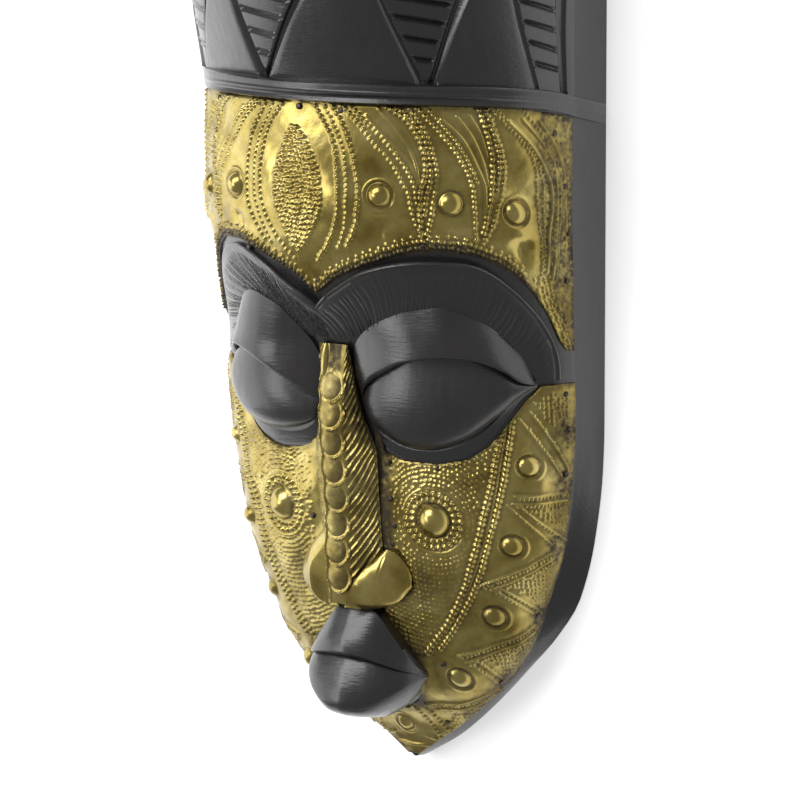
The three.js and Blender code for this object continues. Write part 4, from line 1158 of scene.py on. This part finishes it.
    def tarnish(x, y, space):
        away = np.abs(x)
        # Painted shade: darker beside the nose and in the corner between nose and eye, on the mask's left
        # only, where the nose's shade falls.
        beside_nose = np.maximum(1 - smooth(away, 18.5, 23), smooth(y, -72, -64) * (away < 30)) * (x > 0)
        beside_nose = beside_nose * smooth(y, -116, -110)
        low = (1 - smooth(y, -125, -108)) * (1 - smooth(away + 0.75 * (y + 108), 45, 55))
        rim = smooth(away, 84, 94) * (y > -110) + (1 - smooth(space, 4, 14)) * (y < -104) * (away > 30)
        dark = 0.05 + beside_nose + 0.22 * low + 0.36 * unit(rim)
        for spot_x, spot_y in ((96, -82), (90, -109), (80, -140), (59, -171), (97, -60), (24, -157),
                               (16, -180)):
            dark = dark + 0.75 * np.exp(-((away - spot_x) ** 2 + (y - spot_y) ** 2) / 22)
        return dark
    return nailed_sheet("cheek_brass", work, cheek_room, tarnish)


# Middles of the scales down the ridge of the nose, spacing of the ribs beside them, and
# thickness of the nose's and the nostrils' sheets
RIDGE_SCALES = (-42, -53.5, -65.5, -77.3, -89, -100.8, -112.5, -124)
RIB_PITCH, SHEET_THIN = 3.9, 0.5
# How far the nose's sheet stands off the nose's own outline, and its foot off the face
NOSE_SHEET_ROOM, NOSE_SHEET_FOOT = 0.9, 1.9


def ridge_wander(y):
    """The ridge leans towards the mask's right as it comes down to the tip."""
    return -0.8 - 2.2 * smooth(-y, 82, 114)


def nose_sheet_point(side, y):
    """The sheet lies over the nose with a broad flat ridge, broader on the mask's left."""
    half = nose_width(y) + NOSE_SHEET_ROOM
    x = side * half
    inner = np.minimum(np.where(x < 0, 4.8 - ridge_wander(y), 6.6 + ridge_wander(y)), half - 1.6)
    down = unit((np.abs(x) - inner) / (half - inner))
    base = face_z(x, y) + NOSE_SHEET_FOOT
    crown = ridge_height(y) + NOSE_SHEET_ROOM - 0.5 * np.minimum(1, np.abs(x) / inner) ** 2
    return x, np.stack([x, y, mix(crown, base, down ** np.where(x < 0, 0.7, 1.25))], -1), down, half


def nose_relief(x, y, down, half):
    """Scales on the ridge and slanting ribs on the flanks: the height, and how dark it lies, with painted
    shade on each scale's half towards the mask's left and a painted highlight on its lower rim on that side.
    """
    form = np.zeros(len(x))
    dark = np.full(len(x), 0.3)
    for middle in RIDGE_SCALES:
        u = (x - 0.8 - ridge_wander(np.full(1, float(middle)))) / 6.0
        v = (middle - y) / 6.6
        away = np.sqrt(u * u + v * v)
        low_side = smooth(0.75 * v + 0.75 * u, 0.1, 1.05)
        wall = unit((away - 0.84) / 0.24) * unit((1.15 - away) / 0.07)
        here = np.sqrt(unit(1 - (away / 0.88) ** 2)) + wall * (0.3 + 0.8 * low_side)
        # Painted shade and highlight: each scale is darker towards the mask's left, and its lower rim on that
        # side is kept light.
        dark = np.where(away < 0.86, 0.6 + 0.28 * u, np.where(away < 1.14, dark * (1 - low_side), dark))
        form = np.maximum(form, here)
    edge = np.exp(-((x + 4.4 - ridge_wander(y) + 0.5 * np.cos(FULL_TURN * (y + 53.5) / 11.8)) / 0.55) ** 2)
    form = np.maximum(form, 0.9 * edge)
    dark = dark * (1 - edge)
    leaf = unit(1 - ((x + 3.9) / 1.9) ** 2 - ((y + 31) / 7.5) ** 2)
    fold = smooth(y, -37, -34) * smooth(x, -2.6, -1.2)
    crease = 0.7 * fold * unit(1 - np.abs(x - 0.4) / 2.4)
    form = np.maximum(form * (1 - fold), 1.8 * leaf ** 0.55) - crease
    length = down * np.hypot(half - 6, 9)
    slant = (y - 0.95 * length - 0.045 * length ** 2 + 0.4 * uneven(x, y, 15, 3)) / RIB_PITCH
    crest = (0.5 + 0.5 * np.cos(FULL_TURN * slant)) ** 2.6
    flank = smooth(down, 0.02, 0.12) * (1 - smooth(down, 0.9, 1.0))
    strong = 0.75 + 0.2 * uneven(x, y, 9, 5)
    form = form + 1.05 * crest * flank * strong
    dark = np.where(down > 0.02, 0.8 * (1 - crest) + 0.3 * smooth(y, -75, -55) * smooth(down, 0.4, 0.9), dark)
    return form + 0.1 * uneven(x, y, 9, 17), dark + 0.85 * fold * (1 - smooth(x, 3.5, 5))


def emboss_nose():
    def place(side, y, upper):
        x, spots, down, half = nose_sheet_point(side, y)
        form, _ = nose_relief(x, y, down, half)
        tilt = np.where(down > 0, 1.3, 0.1) * np.sign(x)
        out = np.stack(even(tilt, 0, 1), -1)
        out /= np.linalg.norm(out, axis=1, keepdims=True)
        border = unit((1 - np.abs(side)) / 0.05)
        return spots + out * (form * border - np.where(upper, 0, SHEET_THIN))[:, None]
    sides = np.concatenate([np.linspace(-1, -0.44, 24, endpoint=False), np.linspace(-0.44, 0.5, 46),
                            np.linspace(0.5, 1, 38)[1:]])
    piece = slab("nose_brass", sides, spread((NOSE_LOW, 0.52), NOSE_TOP), place)
    x, y, _ = (places_of(piece) / MM).T
    _, _, down, half = nose_sheet_point(np.clip(x / (nose_width(y) + NOSE_SHEET_ROOM), -1, 1), y)
    stain(piece, "hollows", unit(nose_relief(x, y, down, half)[1]))
    shade(piece, 50)
    return piece


# Outlines of the nostril covers, from the nose outwards; the one on the mask's right reaches higher
COVER_TOPS = {1: path([(15, -113), (18.5, -111.4), (22.5, -113), (26.3, -118), (28, -123.5)]),
    -1: path([(8.4, -101.5), (12, -104.6), (20, -112.2), (26, -118.7), (28.5, -124)])}
COVER_LOWS = {1: path([(0.6, -136.8), (8, -137.3), (16, -136.4), (23, -133.3), (28, -127)]),
    -1: path([(5.2, -136.9), (11, -137.2), (17, -136.2), (23, -133.3), (28, -127)])}


def cover_nostril(name, way):
    """Thin smooth sheet folded over a nostril, with one sharp fold."""
    def place(share, t, upper):
        x, y = between(COVER_TOPS[way], COVER_LOWS[way], share, t)
        fold = 18.4 - 4.4 * t ** 1.4
        flat = 1 - 0.012 * (x - 8)
        fall = (1 - 0.012 * (fold - 8)) * unit(1 - (x - fold) / (29.4 - fold)) ** 0.72
        full = np.where(x < fold, flat, fall)
        turn = QUARTER_TURN * np.minimum(1, 0.12 + t * 1.35)
        lower = np.sqrt(1 - unit((t - 0.75) / 0.25) ** 2 * 0.5)
        z = face_z(x, y) + NOSE_SHEET_FOOT + 11.6 * full * np.sin(turn) ** 0.8 * lower
        z += 0.16 * uneven(x, y, 12, 41, z) * unit(np.minimum(t, 1 - t) * 6)
        z -= 0.35 * unit(1 - np.abs(x - fold) / 0.6) * (t > 0.1)
        beside = nose_width(y) + NOSE_SHEET_ROOM
        under = nose_sheet_point(way * unit(x / beside), y)[1][:, 2] + (1.6 if way > 0 else 0.5)
        z = np.maximum(z, np.where(x < beside, under, 0))
        if way < 0:
            z = np.minimum(z, ridge_height(y) - 0.6)
        return np.stack([way * x, y, z - np.where(upper, 0, SHEET_THIN)], -1)
    piece = slab(name, np.linspace(0, 1, 60), np.linspace(0, 1, 44), place)
    stain(piece, "hollows", np.full(len(piece.data.vertices), 0.08))
    shade(piece, 38)
    return piece


# Pins: (across, height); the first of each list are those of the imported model
FOREHEAD_PINS = [(-52, 76.5), (-20.4, 76.5), (19.9, 76.2), (44.1, 75.6), (112, 66), (112, 4), (-112, 66),
    (-112, 4)]
CHEEK_PINS = [(98, -43.5), (88, -107), (57, -170), (21, -101), (-98, -43.5), (-88, -107), (-57, -170),
    (-21, -101)]
EXTRA_PINS = [(0, 76.8), (119.5, 43.5), (119, 23.4), (98.9, -58.5), (96.8, -78), (79.8, -140), (42.2, -75),
    (19.9, -74), (20, -89.5), (19.4, -109), (35, -161), (21.6, -190.8), (-33, 15.5), (4, 4.5), (33, 15.8),
    (53, 21), (-119, 43.5), (-119, 23.4), (-96.8, -78), (-79.8, -140), (-42.2, -75)]


PIN_RADIUS, PIN_RISE, PIN_ROOT = 1.35, 0.42, 0.8


def drive_pins():
    bpy.ops.object.select_all(action="DESELECT")
    bpy.ops.mesh.primitive_uv_sphere_add(segments=14, ring_count=8, radius=1)
    pin = bpy.context.object
    spots = places_of(pin)
    spots[:, :2] *= PIN_RADIUS
    spots[:, 2] *= np.where(spots[:, 2] < 0, PIN_ROOT, PIN_RISE)
    pins = []
    for x, y in FOREHEAD_PINS + CHEEK_PINS + EXTRA_PINS:
        base = on_face(x, y, SHEET_LIFT + 0.25)
        ahead = Vector(on_face(x, y, 6.0) - base).normalized()
        turn = ahead.to_track_quat("Z", "Y").to_matrix()
        copy = pin.copy()
        copy.data = pin.data.copy()
        bpy.context.collection.objects.link(copy)
        move_to(copy, spots @ np.array(turn).T + base)
        pins.append(copy)
    bpy.data.objects.remove(pin)
    only(pins[0])
    for copy in pins:
        copy.select_set(True)
    bpy.ops.object.join()
    pins[0].name = pins[0].data.name = "pin_heads"
    shade(pins[0], 50)
    return pins[0]


# Materials

def linear(code):
    values = [int(code[k:k + 2], 16) / 255 for k in (1, 3, 5)]
    return tuple(v / 12.92 if v <= 0.04045 else ((v + 0.055) / 1.055) ** 2.4 for v in values) + (1.0,)


def material(name, surface):
    """A material whose shader has the settings that surface gives, from its nodes and their places."""
    made = bpy.data.materials.new(name)
    made.use_nodes = True
    tree = made.node_tree
    tree.nodes.clear()

    def add(kind, settings, out=0):
        """Adds a node. A setting is a property, an input's value or link, or a colour ramp's stops."""
        node = tree.nodes.new("ShaderNode" + kind)
        for key, value in settings.items():
            if key == "stops":
                stops = node.color_ramp.elements
                while len(stops) < len(value):
                    stops.new(0.5)
                for stop, (place, tone) in zip(stops, value):
                    stop.position = place
                    stop.color = linear(tone) if isinstance(tone, str) else (tone, tone, tone, 1)
            elif isinstance(value, bpy.types.NodeSocket):
                tree.links.new(node.inputs[key], value)
            elif isinstance(key, str) and hasattr(node, key):
                setattr(node, key, value)
            else:
                node.inputs[key].default_value = value
        return node.outputs[out] if len(node.outputs) else node
    add("OutputMaterial", {"Surface": add("BsdfPrincipled", surface(add, add("TexCoord", {}, "Object")))})
    return made


def stained_wood(add, place):
    # Close-grained hardwood, carved, scraped, stained near black and waxed: a satin sheen over a
    # faint purple-brown depth. Fibres lie 2.4 mm apart and six times as long, the stain clouds over
    # 36 mm, and the scraper's strokes, drawn at 0.9 mm to show, run across the face.
    along = add("Mapping", {"Vector": place, "Scale": (1.0, 0.16, 1.0)})
    grain = add("TexNoise", {"Vector": along, "Scale": 420.0, "Detail": 5.0, "Roughness": 0.6})
    cloud = add("TexNoise", {"Vector": place, "Scale": 28.0, "Detail": 4.0})
    across = add("Mapping", {"Vector": place, "Scale": (0.12, 1.0, 0.5)})
    strokes = add("TexNoise", {"Vector": across, "Scale": 1100.0, "Detail": 3.0})
    normal = add("Bump", {"Height": strokes, "Strength": 0.55, "Distance": 0.00019})
    normal = add("Bump", {"Height": grain, "Normal": normal, "Strength": 0.14, "Distance": 0.0004})
    normal = add("Bump", {"Height": cloud, "Normal": normal, "Strength": 0.12, "Distance": 0.002})
    return {"Base Color": add("ValToRGB", {"Fac": cloud, "stops": [(0.3, "#161314"), (0.55, "#1c191a"),
                                                                   (0.8, "#272122")]}),
            "Roughness": add("ValToRGB", {"Fac": grain, "stops": [(0.3, 0.32), (0.7, 0.46)]}),
            "IOR": 1.5, "Coat Weight": 0.68, "Coat Roughness": 0.21, "Normal": normal, "Coat Normal": normal}


def embossed_brass(add, place):
    # Thin brass sheet, hammered from behind: polished on its high points, and dull with dirt and
    # brown oxide in its hollows and at its edges. The same dark colour also paints shade over the mask's
    # left half, beside the nose and on half of each nose scale, and it is left off those scales' lower
    # rims as a painted highlight. The polish clouds over 17 mm, specks are 2.4 mm.
    hollows = add("Attribute", {"attribute_name": "hollows"}, "Fac")
    edge = add("Attribute", {"attribute_name": "edge"}, "Fac")
    cloud = add("TexNoise", {"Vector": place, "Scale": 60.0, "Detail": 5.0, "Roughness": 0.6})
    speck = add("TexNoise", {"Vector": place, "Scale": 420.0, "Detail": 3.0})
    polish = add("ValToRGB", {"Fac": cloud, "stops": [(0.3, "#8b783c"), (0.5, "#b19f5b"), (0.72, "#cdbc7a")]})
    dull = add("ValToRGB", {"Fac": speck, "stops": [(0.3, "#1d1813"), (0.7, "#463b28")]})
    worn = add("Math", {"operation": "MULTIPLY_ADD", 0: edge, 1: 0.5, 2: hollows})
    patchy = add("MapRange", {"Value": speck, "From Min": 0.3, "From Max": 0.7, "To Min": 0.5,
                              "To Max": 1.15})
    dirt = add("Math", {"operation": "MULTIPLY", "use_clamp": True, 0: worn, 1: patchy})
    return {"Base Color": add("Mix", {"data_type": "RGBA", 0: dirt, 6: polish, 7: dull}, 2),
            "Roughness": add("MapRange", {"Value": dirt, "To Min": 0.23, "To Max": 0.5}),
            "Metallic": add("MapRange", {"Value": dirt, "From Min": 0.3, "To Min": 1.0, "To Max": 0.5}),
            "Normal": add("Bump", {"Height": speck, "Strength": 0.1, "Distance": 0.0006})}


def blackened_iron(add, place):
    # Small iron panel pins, blackened by age: a dark dull metal, mottled about every millimetre.
    speck = add("TexNoise", {"Vector": place, "Scale": 900.0, "Detail": 3.0})
    return {"Base Color": add("ValToRGB", {"Fac": speck, "stops": [(0.35, "#2b2520"), (0.7, "#6b625a")]}),
            "Roughness": add("ValToRGB", {"Fac": speck, "stops": [(0.3, 0.35), (0.7, 0.6)]}), "Metallic": 1.0}


def white_paper(add, place):
    # Matt white studio paper, lit a little from within so that it stays pale.
    return {"Base Color": linear("#f6f6f6"), "Roughness": 0.9, "Emission Color": (1, 1, 1, 1),
            "Emission Strength": 0.5}


def finish_piece(piece, finish, slot, *nodes):
    piece.data.materials.clear()
    piece.data.materials.append(finish)
    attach(piece, "root")
    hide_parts(*nodes)


wood = material("stained_waxed_wood", stained_wood)
brass = material("embossed_brass_sheet", embossed_brass)
iron = material("blackened_iron_pin", blackened_iron)

mask = carve_block()
carve_brow(mask)
carve_eyes(mask)
carve_nose(mask)
carve_mouth(mask)
shade(mask, 38)
finish_piece(mask, wood, "wood", "wooden_mask")
finish_piece(emboss_forehead(), brass, "brass", "forehead_sheet")
finish_piece(emboss_cheeks(), brass, "brass", "cheek_and_chin_sheet")
finish_piece(emboss_nose(), brass, "brass", "nose_sheet")
for way, hand in ((1, "left"), (-1, "right")):
    finish_piece(cover_nostril("nostril_brass_" + hand, way), brass, "brass", "nostril_cover_" + hand)
finish_piece(drive_pins(), iron, "nails",
             *(f"{sheet}_nail_{n}" for sheet in ("forehead", "cheek") for n in range(1, 9)))

# Floor, light and camera

bpy.ops.object.select_all(action="DESELECT")
bpy.ops.mesh.primitive_plane_add(size=12, location=(0, 0, -0.0005))
floor = bpy.context.object
floor.name = "studio_floor"
floor.data.materials.append(material("white_paper_floor", white_paper))

# Softboxes: place, width, height and power, all turned to the mask
MASK_MIDDLE = Vector((0, -0.02, 0.05))
for name, place, width, height, power in (("key_softbox", (-0.44, 0.77, 1.26), 1.25, 0.76, 15),
                                          ("front_softbox", (-0.84, -0.12, 1.34), 0.62, 0.56, 3.9),
                                          ("left_softbox", (-1.25, -0.22, 0.42), 1.05, 1.1, 6.4)):
    lamp = bpy.data.lights.new(name, "AREA")
    lamp.shape = "RECTANGLE"
    lamp.size, lamp.size_y, lamp.energy = width, height, power
    holder = bpy.data.objects.new(name, lamp)
    bpy.context.collection.objects.link(holder)
    holder.location = place
    holder.rotation_euler = (MASK_MIDDLE - Vector(place)).to_track_quat("-Z", "Y").to_euler()

CAMERA_TURN, CAMERA_TILT = math.radians(35.2), math.radians(9.0)
CAMERA_DISTANCE = 2.5
AIM = Vector((0.0209, -0.0486, 0.050))
back = Vector((math.sin(CAMERA_TURN) * math.cos(CAMERA_TILT), math.sin(CAMERA_TILT),
               math.cos(CAMERA_TURN) * math.cos(CAMERA_TILT)))
right = Vector((math.cos(CAMERA_TURN), 0, -math.sin(CAMERA_TURN)))
above = back.cross(right)
lens = bpy.data.cameras.new("camera")
lens.lens = 270
lens.sensor_width = 36
camera = bpy.data.objects.new("camera", lens)
bpy.context.collection.objects.link(camera)
stand = Matrix((right, above, back)).transposed().to_4x4()
stand.translation = AIM + back * CAMERA_DISTANCE
camera.matrix_world = stand
bpy.context.scene.camera = camera

world = bpy.data.worlds.new("studio")
world.use_nodes = True
world.node_tree.nodes["Background"].inputs["Color"].default_value = (1, 1, 1, 1)
world.node_tree.nodes["Background"].inputs["Strength"].default_value = 0.34
bpy.context.scene.world = world
bpy.context.scene.view_settings.view_transform = "Standard"

bpy.context.view_layer.update()
